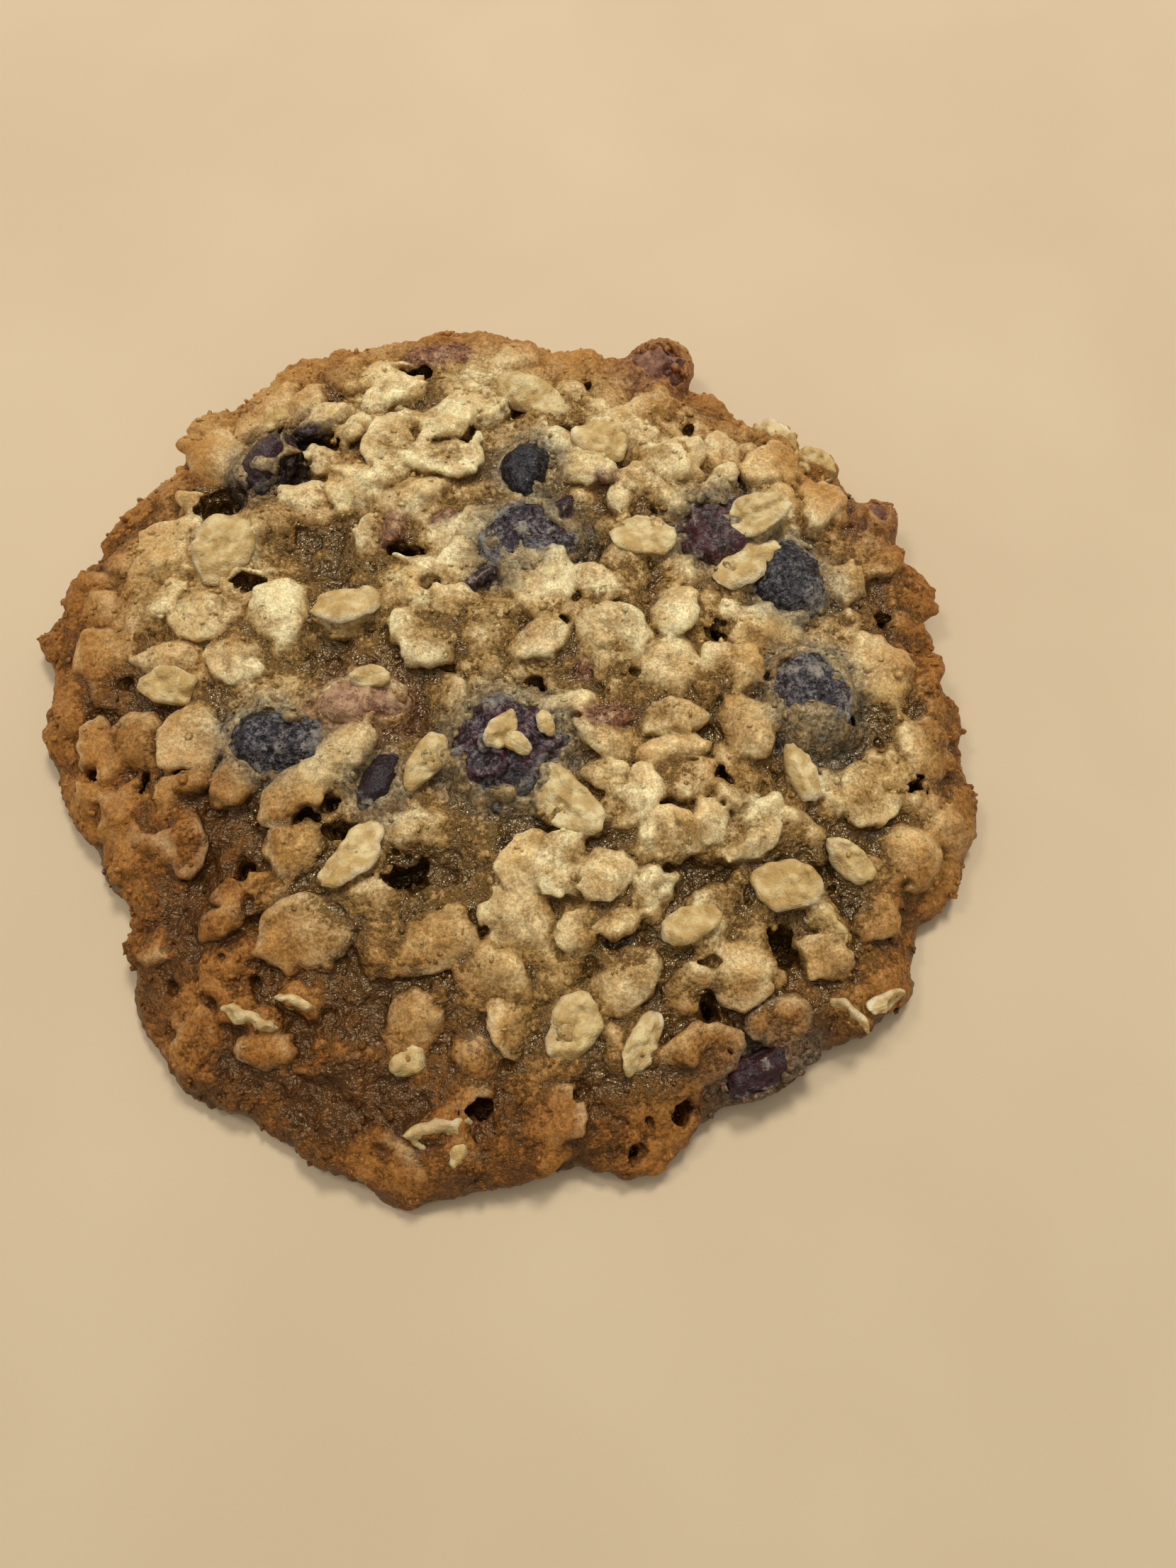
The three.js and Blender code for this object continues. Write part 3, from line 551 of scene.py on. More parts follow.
def lump_distance(flake, places, spread, half_height, below):
    """The distance to a bent pillow below the flake's middle, and the share of the way to its edge."""
    key = flake.key
    power = 3.0 if flake.kind == "f" else 2.0 + 0.8 * draw(key, 13)
    u, v, w = places
    half_length, half_width = 1.08 * spread * flake.length / 2, 1.08 * spread * flake.width / 2
    share = edge_share(flake, u, v, half_length, half_width)
    bend = (draw(key, 11) - 0.65) * 0.9 * np.minimum(share, 1.5) ** 2
    bend += (draw(key, 12) - 0.5) * 0.9 * (u / half_length) * (v / half_width)
    bend -= 0.45 * max(0.0, draw(key, 41) - 0.4) * np.exp(-(v / half_width / 0.2) ** 2)
    rise = np.abs(w + below - bend) / half_height
    near = np.maximum((share ** power + rise ** power) ** (1 / power), 1e-3)
    steep = np.hypot((share / near) ** (power - 1) / half_width, (rise / near) ** (power - 1) / half_height)
    return (near - 1) / np.maximum(steep, 0.05), share


def section_distance(radial, level, outline):
    """Signed distances from a table of points to the dough's half section."""
    r, z = np.meshgrid(radial, level, indexing="ij")
    nearest = np.full(r.shape, 1e9)
    inside = np.zeros(r.shape, bool)
    for (r0, z0), (r1, z1) in zip(outline[:-1], outline[1:]):
        dr, dz = r1 - r0, z1 - z0
        t = np.clip(((r - r0) * dr + (z - z0) * dz) / (dr * dr + dz * dz), 0, 1)
        nearest = np.minimum(nearest, np.hypot(r - r0 - t * dr, z - z0 - t * dz))
        if dz:
            crossing = (z0 > z) != (z1 > z)
            inside ^= crossing & (r < r0 + (z - z0) * dr / dz)
    return np.where(inside, -nearest, nearest)


def swept_section():
    """The distance to the dough's section, swept round the rim."""
    reach = rim_share(*PLAN) * MEAN_RIM
    squeeze = 1 - THIN_SIDE_LOSS * thin_side(*PLAN)
    outline = np.array(SECTION) * (MEAN_RIM, DOUGH_HEIGHT)
    lowest = -2
    radial, level = np.arange(0, 80, VOXEL), np.arange(lowest, 20, VOXEL)
    table = section_distance(radial, level, outline).astype(np.float32)
    across = np.clip(reach / VOXEL, 0, len(radial) - 1.001)
    field = np.empty(SHAPE, np.float32)
    for k, z in enumerate(AXES[2]):
        up = np.clip((z / squeeze - lowest) / VOXEL, 0, len(level) - 1.001)
        i, j = across.astype(int), up.astype(int)
        a, b = across - i, up - j
        field[:, :, k] = ((1 - a) * (1 - b) * table[i, j] + a * (1 - b) * table[i + 1, j]
                          + (1 - a) * b * table[i, j + 1] + a * b * table[i + 1, j + 1])
    return field


def make_noise():
    """The fields of noise that the body's parts share."""
    noise = SimpleNamespace(**{name: grid_noise(lump) for name, lump in NOISE_LUMPS.items()})
    noise.warp = [0.6 * (0.5 * grid_noise(2.8) + 0.4 * grid_noise(1.1)) for _ in range(3)]
    noise.crumb = 0.3 * (np.abs(noise.medium) - 0.35) + 0.34 * (np.abs(noise.fine) - 0.35)
    return noise


def bare_dough(noise):
    """The distance to the dough without flakes, with its swells, rises and the arm at the back rim."""
    field = swept_section() + SURFACE_ROLL * noise.coarse + SURFACE_SWELL * np.abs(noise.swell) - 0.2
    field -= rise_at(*PLAN)[:, :, None].astype(np.float32) * smoothstep(2, 6, AXES[2]).astype(np.float32)
    along, middle = ARM_END - ARM_START, (ARM_START + ARM_END) / 2
    radii = (np.linalg.norm(along) / 2 + ARM_HALF_WIDTH, ARM_HALF_WIDTH, ARM_HALF_HEIGHT)
    window, points = window_round(middle, 10)
    arm = ellipsoid_distance(points, middle, radii, math.degrees(math.atan2(along[1], along[0])))
    field[window] = smooth_union(field[window], arm + 0.3 * noise.coarse[window], 2.0)
    return field


def lay_flakes(flakes, noise):
    """The distances to the coated flakes and to the mounds under all flakes, with what colours the flakes."""
    oats, second, mounds = (np.full(SHAPE, FAR, np.float32) for _ in range(3))
    pale, tint, edge = (np.zeros(SHAPE, np.float32) for _ in range(3))
    for flake in flakes:
        window, points = window_round(flake.centre, flake.length / 2 + 3)
        places = own_places(flake, [points[k] + noise.warp[k][window] for k in range(3)])
        mounds[window] = smooth_union(mounds[window], lump_distance(flake, places, *MOUND)[0], MOUND_FILLET)
        if flake.kind in BARE_KINDS:
            continue
        half_height = FLAT_HALF_HEIGHT
        if flake.kind != "f":
            half_height = LUMP_HALF_HEIGHT + LUMP_EXTRA_HEIGHT * draw(flake.key, 14)
        distance, share = lump_distance(flake, places, 1.0, half_height, 0.0)
        if flake.kind == "m":
            distance = distance + MELTED_DEPTH
        closer = distance < oats[window]
        # The flake's tint, less towards the back (+Y), so flakes are paler there.
        shade = draw(flake.key, 15) * 0.5 + (0.35 if flake.kind == "t" else 0.0) - 0.007 * flake.y
        shade = shade + (draw(flake.key, 16) - 0.35) * np.clip(2 * places[0] / flake.length, -1, 1)
        paleness = draw_in(KIND_PALENESS[flake.kind], flake.key, 17)
        for field, value in ((tint, shade), (edge, share), (pale, paleness)):
            field[window] = np.where(closer, value, field[window])
        second[window] = np.minimum(second[window], np.maximum(distance, oats[window]))
        oats[window] = np.minimum(oats[window], distance)
    outside = (rim_share(*PLAN) - 1).astype(np.float32) * MEAN_RIM
    oats = np.maximum(oats, outside[:, :, None] + 0.4) + 0.7 * smoothstep(-4, 0, outside)[:, :, None]
    seam = np.exp(-((second - oats) / SEAM_WIDTH) ** 2)
    return SimpleNamespace(oats=oats, mounds=mounds, seam=seam, pale=pale, tint=tint, edge=edge)


def berry_windows():
    """For each cranberry: form, collar, middle, the grid round it and the distances to it there."""
    for (form, (collar, *_)), centre in zip(BERRIES, BERRY_CENTRES):
        window, points = window_round(centre, BERRY_REACH)
        yield form, collar, centre, window, points, ellipsoid_distance(points, centre, form[2:5], form[5])


def add_collars(blanket, noise):
    """Raise a ragged collar of dough round each cranberry."""
    for form, collar_height, centre, window, points, berry in berry_windows():
        ragged = 1.7 * noise.medium[window] + 1.6 * noise.swell[window] + 0.9 * noise.fine[window]
        collar_top = centre[2] + form[4] * collar_height + ragged
        outer = berry - COLLAR_THICKNESS - 0.3 * np.abs(noise.fine[window])
        blanket[window] = smooth_union(blanket[window], np.maximum(outer, points[2] - collar_top), 1.0)


def add_shreds(body, top, noise):
    """Lay the shreds of skin on the body, and give the distances to the red and to the dark ones."""
    red, dark = (np.full(SHAPE, FAR, np.float32) for _ in range(2))
    low_top = box_blur(top, 1.0)
    for x, y, half_length, half_width, turn, darkness in SHREDS:
        centre = np.array([x, y, at_map(low_top, x, y)])
        window, points = window_round(centre, 6)
        points = [points[k] + 0.8 * noise.warp[k][window] for k in range(3)]
        shred = ellipsoid_distance(points, centre, (half_length, half_width, SHRED_HALF_HEIGHT), turn)
        skins = dark if darkness else red
        skins[window] = np.minimum(skins[window], shred)
        body[window] = smooth_union(body[window], shred + 0.3 * np.abs(noise.fine[window]), 0.3)
    return red, dark


def add_nubs(body, top, noise):
    """Lay small lumps of dough and broken oats on the body."""
    for nub in range(NUBS):
        angle, reach = FULL_TURN * draw(nub, 51), math.sqrt(draw(nub, 52))
        reach *= 0.99 * float(rim_radius(math.cos(angle), math.sin(angle)))
        x, y = reach * math.cos(angle), reach * math.sin(angle)
        radius = draw_in(NUB_RADIUS, nub, 53)
        centre = np.array([x, y, at_map(top, x, y) + draw_in(NUB_STANDING, nub, 54) * radius - 0.3])
        window, points = window_round(centre, radius + 1.5)
        radii = (radius * (1 + 0.5 * draw(nub, 55)), radius, radius * 0.8)
        lump = ellipsoid_distance(points, centre, radii, 360 * draw(nub, 56)) - noise.crumb[window]
        body[window] = smooth_union(body[window], lump, 0.5)


def cut_pits(body, top, noise):
    """Cut the pits and the pinholes into the body."""
    for x, y, half_length, half_width, turn in PITS:
        surface = float(np.median(at_map(top, x + np.array([-1, 0, 1, 0]), y + np.array([0, -1, 0, 1]))))
        centre = np.array([x, y, surface - 0.9])
        window, points = window_round(centre, 6)
        points = [points[k] + PIT_RAGGEDNESS * noise.warp[k][window] for k in range(3)]
        radii = (half_length * PIT_SPREAD, half_width * PIT_SPREAD, PIT_DEPTH)
        pit = ellipsoid_distance(points, centre, radii, turn)
        cut = -pit - 0.7 * noise.fine[window] - 0.4 * noise.medium[window]
        body[window] = np.maximum(body[window], np.minimum(cut, AXES[2][window[2]] - PIT_FLOOR))
    for hole in range(PINHOLES):
        angle, reach = FULL_TURN * draw(hole, 31), PINHOLE_REACH * math.sqrt(draw(hole, 32))
        x, y = reach * math.cos(angle), reach * math.sin(angle)
        surface = at_map(top, x, y)
        radius = draw_in(PINHOLE_RADIUS, hole, 33)
        window, points = window_round(np.array([x, y, surface - 0.2]), 2)
        radii = (radius * (1 + draw(hole, 34)), radius, 2 * radius)
        pit = ellipsoid_distance(points, (x, y, surface - 0.25), radii, 360 * draw(hole, 35))
        body[window] = np.maximum(body[window], -pit - 0.6 * noise.fine[window])


def bake_body(flakes):
    """The body's field of distances, with what its surface needs to be coloured."""
    noise = make_noise()
    core = bare_dough(noise)
    fields = lay_flakes(flakes, noise)
    fields.blanket = smooth_union(core, fields.mounds, BLANKET_FILLET) - noise.crumb
    add_collars(fields.blanket, noise)
    melt = MELT[0] + (MELT[1] - MELT[0]) * smoothstep(-0.2, 0.5, noise.swell)
    body = smooth_union(fields.blanket, fields.oats + SEAM_DEPTH * fields.seam - 0.32 * noise.crumb, melt)
    top = height_map(body)
    fields.shreds, fields.streaks = add_shreds(body, top, noise)
    add_nubs(body, top, noise)
    for _, _, _, window, _, berry in berry_windows():
        body[window] = np.maximum(body[window], -(berry + POCKET_GAP))
    fields.top = height_map(body)
    cut_pits(body, fields.top, noise)
    above_base = AXES[2][None, None, :] - 0.12 * np.abs(noise.medium) - 0.1 * np.abs(noise.fine)
    fields.body = np.maximum(body, -above_base)
    fields.coarse, fields.medium = noise.coarse, noise.medium
    return fields


def largest_part(points, faces):
    """The faces of the largest connected part of a mesh."""
    label = np.arange(len(points))
    edges = np.concatenate([faces[:, [0, 1]], faces[:, [1, 2]], faces[:, [2, 0]]])
    while True:
        lowest = np.minimum(label[edges[:, 0]], label[edges[:, 1]])
        fresh = label.copy()
        np.minimum.at(fresh, edges[:, 0], lowest)
        np.minimum.at(fresh, edges[:, 1], lowest)
        fresh = fresh[fresh]
        if np.array_equal(fresh, label):
            break
        label = fresh
    names, counts = np.unique(label, return_counts=True)
    return faces[label[faces[:, 0]] == names[np.argmax(counts)]]


def new_mesh(name, points, faces, material):
    """A smooth mesh object from arrays in the cookie's millimetres, riding on the body."""
    mesh = bpy.data.meshes.new(name)
    mesh.vertices.add(len(points))
    mesh.vertices.foreach_set("co", ((points + MIDDLE) * MM).astype(np.float32).ravel())
    mesh.loops.add(faces.size)
    mesh.loops.foreach_set("vertex_index", faces.astype(np.int32).ravel())
    mesh.polygons.add(len(faces))
    mesh.polygons.foreach_set("loop_start", np.arange(0, faces.size, faces.shape[1], dtype=np.int32))
    mesh.polygons.foreach_set("use_smooth", np.full(len(faces), True))
    mesh.update(calc_edges=True)
    mesh.validate()
    mesh.materials.append(material)
    piece = bpy.data.objects.new(name, mesh)
    bpy.context.scene.collection.objects.link(piece)
    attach(piece, BODY)
    return piece


def set_attributes(piece, **values_by_name):
    """Give a mesh's vertices values that its material reads. A single number is the same for all."""
    for name, values in values_by_name.items():
        attribute = piece.data.attributes.new(name, "FLOAT", "POINT")
        values = np.broadcast_to(np.asarray(values, np.float32), len(piece.data.vertices))
        attribute.data.foreach_set("value", np.ascontiguousarray(values))


def read_all(items, name, width=1, kind=np.float64):
    """One property of all of a mesh's vertices, corners or faces."""
    values = np.empty(width * len(items), kind)
    items.foreach_get(name, values)
    return values.reshape(-1, width) if width > 1 else values


def decimate(piece, triangles):
    """Join the piece's flattest triangles, down to the given count."""
    ratio = triangles / len(piece.data.polygons)
    if ratio < 1:
        modifier = piece.modifiers.new("fewer", "DECIMATE")
        modifier.ratio = ratio
        evaluated = piece.evaluated_get(bpy.context.evaluated_depsgraph_get())
        mesh = bpy.data.meshes.new_from_object(evaluated)
        piece.modifiers.clear()
        old = piece.data
        piece.data = mesh
        bpy.data.meshes.remove(old)
        mesh.name = piece.name


def berry_nearness(points):
    """How close points are to the dark and to the red cranberries, from 0 to 1."""
    dark, red = np.zeros(len(points)), np.zeros(len(points))
    for (form, (_, _, _, film_red, _)), centre in zip(BERRIES, BERRY_CENTRES):
        distance = ellipsoid_distance(points.T, centre, form[2:5], form[5])
        near = np.exp(-(np.maximum(distance - 0.8, 0) / 1.3) ** 1.5)
        dark = np.maximum(dark, near * (1 - film_red))
        red = np.maximum(red, near * film_red)
    return dark, red


def body_surface(field):
    """The points and outward faces of the largest surface where a field of distances is zero."""
    grid = openvdb.FloatGrid(3 * VOXEL)
    grid.copyFromArray(np.clip(field, -3 * VOXEL, 3 * VOXEL).astype(np.float32))
    points, triangles, quads = grid.convertToPolygons(isovalue=0.0, adaptivity=0.0)
    points = points * VOXEL + GRID_LOW
    faces = np.concatenate([quads[:, [0, 1, 2]], quads[:, [0, 2, 3]], triangles.reshape(-1, 3)])
    used, faces = np.unique(largest_part(points, faces), return_inverse=True)
    points, faces = points[used], faces.reshape(-1, 3)
    corners = points[faces]
    volume = np.einsum("ij,ij->i", corners[:, 0], np.cross(corners[:, 1], corners[:, 2])).sum()
    return points, faces[:, ::-1] if volume < 0 else faces


SAMPLED_FIELDS = ("blanket", "oats", "seam", "pale", "tint", "edge", "shreds", "streaks", "coarse", "medium")


def body_looks(places, fields):
    """What the dough's material reads at places on the body."""
    x, y, z = places.T
    at = SimpleNamespace(**{name: sample(getattr(fields, name), places) for name in SAMPLED_FIELDS})
    above, medium = at.blanket - at.oats, at.medium
    relief = z - at_map(box_blur(fields.top, 2.4), x, y)
    small_relief = z - at_map(box_blur(fields.top, 0.8), x, y)
    dark, red = berry_nearness(places)
    oat = smoothstep(-0.3, 0.6, above + 0.2 * medium) * smoothstep(-1.4, -0.4, relief)
    edge_line = np.exp(-((at.edge - 0.92) / 0.16) ** 2) * smoothstep(0.0, 0.9, above)
    shred = smoothstep(0.7, 0.0, at.shreds + 0.3 * medium)
    return dict(
        oat=oat * at.pale,
        # seam: painted shade in the seams between flakes that lie side by side
        seam=at.seam * smoothstep(-0.6, 0.3, above),
        # crest: high against the nearby top, and higher towards the back (+Y) and on the rises, which paints
        # those places paler
        crest=smoothstep(-1.6, 1.4, relief) + 0.007 * y + 0.3 * rise_at(x, y),
        # crumb: painted shade in hollows about a millimetre wide, with the small bumps between them painted
        # paler
        crumb=smoothstep(-0.6, 0.45, small_relief),
        # cut: a pale line on the raised edges of coated flakes, partly their paler edge and partly painted
        # highlight
        cut=edge_line * smoothstep(-0.4, 0.4, relief),
        tint=np.clip(at.tint, 0, 1),
        brown=np.clip(browning(x, y) + 0.25 * at.coarse, 0, 1),
        stain=np.clip(dark * (1.15 + 0.8 * medium), 0, 1),
        blush=np.clip(np.maximum(0.7 * red * (1 + 0.6 * at.coarse), 1.4 * shred), 0, 1.4),
        streak=smoothstep(0.55, 0.1, at.streaks + 0.3 * medium),
        under=smoothstep(1.4, 0.3, z + 0.3 * medium),
    )


def make_body(fields, material):
    """The baked dough with its coated flakes, in one mesh, and what its material reads."""
    piece = new_mesh("cookie_dough", *body_surface(fields.body), material)
    decimate(piece, BODY_TRIANGLES)
    looks = body_looks(read_all(piece.data.vertices, "co", 3, np.float32) / MM - MIDDLE, fields)
    set_attributes(piece, **looks)
    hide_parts("cookie_body")
    return piece, looks


def flake_points(flake):
    """A bare flake's points in its own axes, upper side first, and the share of the way to its edge."""
    key, half_length, half_width = flake.key, flake.length / 2, flake.width / 2
    thickness = (0.9 + 0.4 * draw(key, 42)) * min(1.0, 0.4 + flake.length / 10)
    angle = np.arange(FLAKE_SECTORS) * 2 * math.pi / FLAKE_SECTORS
    cosine, sine = np.cos(angle), np.sin(angle)
    edge = 1 / edge_share(flake, half_length * cosine, half_width * sine, half_length, half_width)
    points, shares = [], []
    for side in (1, -1):
        points.append([[0.0, 0.0, side * thickness / 2]])
        shares.append([0.0])
        for share in np.linspace(0, 1, FLAKE_RINGS + 1)[1:]:
            taper = math.sqrt(max(0.0, 1 - share ** 4)) * 0.5 + 0.05
            height = np.full(FLAKE_SECTORS, side * thickness * taper)
            ring = share * edge
            points.append(np.stack([ring * half_length * cosine, ring * half_width * sine, height], axis=1))
            shares.append(np.full(FLAKE_SECTORS, share))
    points = np.concatenate(points)
    u, v = points[:, 0] / half_length, points[:, 1] / half_width
    crease = 0.16 * draw(key, 41) * min(1.0, flake.length / 8)
    bend = (draw(key, 11) - 0.75) * 0.9 * (u * u + v * v)
    bend += (draw(key, 12) - 0.5) * 0.8 * u * v - crease * np.exp(-(v / 0.12) ** 2)
    flat = points * (1, 1, 0)
    wave = point_noise(flat + (50 * key, 50 * key, 0), 1.3, SEED)
    rough = point_noise(flat + (9 * key, 9 * key, 0), 0.7, SEED + 1)
    points[:, 2] += bend + 0.3 * wave + 0.28 * rough
    return points, np.concatenate(shares)


def ring_faces(inner, outer, count):
    """Triangles between two rings of points with the given first numbers."""
    around = np.arange(count)
    following = (around + 1) % count
    first = np.stack([inner + around, outer + around, outer + following], axis=1)
    return np.concatenate([first, np.stack([inner + around, outer + following, inner + following], axis=1)])


def fan_faces(tip, ring, count):
    """Triangles from one point to a ring of points."""
    around = np.arange(count)
    return np.stack([np.full(count, tip), ring + around, ring + (around + 1) % count], axis=1)


def flake_faces():
    """The triangles of every bare flake: two sides and the edge between them."""
    faces = []
    side_points = 1 + FLAKE_RINGS * FLAKE_SECTORS
    for side, start in ((1, 0), (-1, side_points)):
        faces.append(fan_faces(start, start + 1, FLAKE_SECTORS)[:, ::side])
        for inner in range(start + 1, start + 1 + (FLAKE_RINGS - 1) * FLAKE_SECTORS, FLAKE_SECTORS):
            faces.append(ring_faces(inner, inner + FLAKE_SECTORS, FLAKE_SECTORS)[:, ::side])
    last_ring = 1 + (FLAKE_RINGS - 1) * FLAKE_SECTORS
    faces.append(ring_faces(last_ring, side_points + last_ring, FLAKE_SECTORS))
    return np.concatenate(faces)


def resting_height(flake, inner, fields):
    """The height at which a bare flake lies on the dough or on a cranberry, from its inner points."""
    x, y = flake.x + inner[:, 0], flake.y + inner[:, 1]
    ground = at_map(fields.top, x, y)
    on_dough = True
    for (form, _), centre in zip(BERRIES, BERRY_CENTRES):
        away = np.hypot((x - centre[0]) / form[2], (y - centre[1]) / form[3])
        cap = centre[2] + form[4] * np.sqrt(np.maximum(1 - away ** 2, 0))
        ground = np.where(away < 0.95, np.maximum(ground, cap), ground)
        on_dough = on_dough and (away > 0.95).mean() > 0.5
    sink = 0.62 if flake.kind == "b" else 0.4
    return np.quantile(ground - inner[:, 2], sink) + (-0.35 if on_dough else 0.6)


def make_bare_flakes(flakes, fields, material):
    """The flakes with no dough on them, in one mesh, each lying on what is under it."""
    bare = [flake for flake in flakes if flake.kind in BARE_KINDS]
    points, edges, lines, tints = [], [], [], []
    for flake in bare:
        local, share = flake_points(flake)
        placed = sum(local[:, k:k + 1] * flake.axes[k] for k in range(3))
        height = resting_height(flake, placed[share < 0.75], fields)
        points.append(placed + (flake.x, flake.y, height))
        towards = np.cos(np.arctan2(local[:, 1], local[:, 0]) - FULL_TURN * draw(flake.key, 44))
        edges.append(share * (0.72 + 0.28 * smoothstep(-0.3, 0.8, towards)))
        lines.append(local[:, 1] + 20 * flake.key)
        tints.append(np.full(len(local), draw(flake.key, 43)))
    faces = np.concatenate([flake_faces() + len(points[0]) * index for index in range(len(bare))])
    piece = new_mesh("oat_flakes", np.concatenate(points), faces, material)
    set_attributes(piece, edge=np.concatenate(edges), line=np.concatenate(lines), tint=np.concatenate(tints))


def icosahedron():
    """The corners and sides of a twenty-sided crumb of radius 1."""
    golden = (1 + math.sqrt(5)) / 2
    corners = np.array([
        (-1, golden, 0), (1, golden, 0), (-1, -golden, 0), (1, -golden, 0), (0, -1, golden), (0, 1, golden),
        (0, -1, -golden), (0, 1, -golden), (golden, 0, -1), (golden, 0, 1), (-golden, 0, -1), (-golden, 0, 1),
    ]) / math.hypot(1, golden)
    sides = np.array([
        (0, 11, 5), (0, 5, 1), (0, 1, 7), (0, 7, 10), (0, 10, 11), (1, 5, 9), (5, 11, 4), (11, 10, 2),
        (10, 7, 6), (7, 1, 8), (3, 9, 4), (3, 4, 2), (3, 2, 6), (3, 6, 8), (3, 8, 9), (4, 9, 5), (2, 4, 11),
        (6, 2, 10), (8, 6, 7), (9, 8, 1),
    ])
    return corners, sides


def make_crumbs(body, looks, material):
    """Small crumbs on the body's upper side, in one mesh, coloured as the body under them."""
    mesh = body.data
    area, normal = read_all(mesh.polygons, "area"), read_all(mesh.polygons, "normal", 3)
    middle = read_all(mesh.polygons, "center", 3) / MM - MIDDLE
    first = read_all(mesh.polygons, "loop_start", kind=np.int32)
    first = read_all(mesh.loops, "vertex_index", kind=np.int32)[first]
    weight = area * smoothstep(-0.1, 0.5, normal[:, 2]) * smoothstep(0.8, 2.5, middle[:, 2])
    weight *= 1 - 0.97 * np.minimum(1.4 * looks["oat"].astype(np.float32)[first], 1)
    dice = np.random.default_rng(SEED + 7)
    chosen = dice.choice(len(mesh.polygons), CRUMBS, p=weight / weight.sum())
    radius = CRUMB_RADIUS[0] + (CRUMB_RADIUS[1] - CRUMB_RADIUS[0]) * dice.random(CRUMBS) ** 2.2
    corners, sides = icosahedron()
    stretch = dice.uniform(*CRUMB_STRETCH, (CRUMBS, 1, 3))
    rough = dice.uniform(*CRUMB_ROUGHNESS, (CRUMBS, 12, 1))
    standing = CRUMB_STANDING[0] + (CRUMB_STANDING[1] - CRUMB_STANDING[0]) * dice.random(CRUMBS)
    centre = middle[chosen] + normal[chosen] * (standing * radius)[:, None]
    points = corners[None] * stretch * rough * radius[:, None, None] + centre[:, None]
    faces = sides[None] + 12 * np.arange(CRUMBS)[:, None, None]
    piece = new_mesh("cookie_crumbs", points.reshape(-1, 3), faces.reshape(-1, 3), material)
    set_attributes(piece, **{name: np.repeat(values[first[chosen]], 12) for name, values in looks.items()})


def berry_sphere():
    """The points and faces of a sphere of radius 1, in rows from its top."""
    theta = np.linspace(0, math.pi, BERRY_ROWS + 1)[1:-1]
    phi = np.arange(BERRY_COLUMNS) * 2 * math.pi / BERRY_COLUMNS
    theta, phi = (angles.ravel() for angles in np.meshgrid(theta, phi, indexing="ij"))
    rows = np.column_stack([np.sin(theta) * np.cos(phi), np.sin(theta) * np.sin(phi), np.cos(theta)])
    unit = np.vstack([[0, 0, 1], rows, [0, 0, -1]])
    last_row = 1 + (BERRY_ROWS - 2) * BERRY_COLUMNS
    faces = [fan_faces(0, 1, BERRY_COLUMNS)]
    for row in range(1, last_row, BERRY_COLUMNS):
        faces.append(ring_faces(row, row + BERRY_COLUMNS, BERRY_COLUMNS))
    faces.append(fan_faces(len(unit) - 1, last_row, BERRY_COLUMNS)[:, [0, 2, 1]])
    return unit, np.concatenate(faces)


def make_berry(index, material):
    """One cranberry: a dented, wrinkled skin, with dough film where the film attribute is high."""
    form, (_, cover, red, film_red, frost) = BERRIES[index]
    unit, faces = berry_sphere()
    radii = np.array(form[2:5])
    solid = unit * radii

    def noise(cell, seed):
        return point_noise(solid, cell, SEED + seed + index)

    def folds(cell, seed):
        return 1 - 2 * np.minimum(np.abs(noise(cell, seed)) / 0.45, 1)

    wrinkles = folds(1.9, 50)
    spread = noise(2.4, 130) * 0.9 + noise(0.8, 170) * 0.4
    film = smoothstep(-0.3, 0.3, spread + (cover - 0.5) * 1.5 - 1.3 * (unit[:, 2] - 0.62) + 0.25 * wrinkles)
    folded = (0.12 + 0.26 * red) * wrinkles + 0.14 * folds(0.9, 90)
    grow = 0.5 * noise(3.4, 0) + min(1.0, radii[1] / 4) * folded + 0.12 * film + 0.15
    turn = math.radians(form[5])
    spin = np.array([[math.cos(turn), math.sin(turn), 0], [-math.sin(turn), math.cos(turn), 0], [0, 0, 1]])
    points = (solid + unit * grow[:, None]) @ spin + BERRY_CENTRES[index]
    name = f"cranberry_{index + 1:02d}"
    piece = new_mesh(f"{name}_skin", points, faces, material)
    # crease: painted shade in the folds of the skin
    crease = smoothstep(0.0, -1.0, wrinkles)
    set_attributes(piece, film=film, crease=crease, red=red, film_red=film_red, frost=frost)
    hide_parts(name)


def colour(red, green, blue):
    """A colour given in screen values from 0 to 255, as the linear values that shaders use."""
    def linear(value):
        value /= 255
        return value / 12.92 if value <= 0.04045 else ((value + 0.055) / 1.055) ** 2.4
    return (linear(red), linear(green), linear(blue), 1)


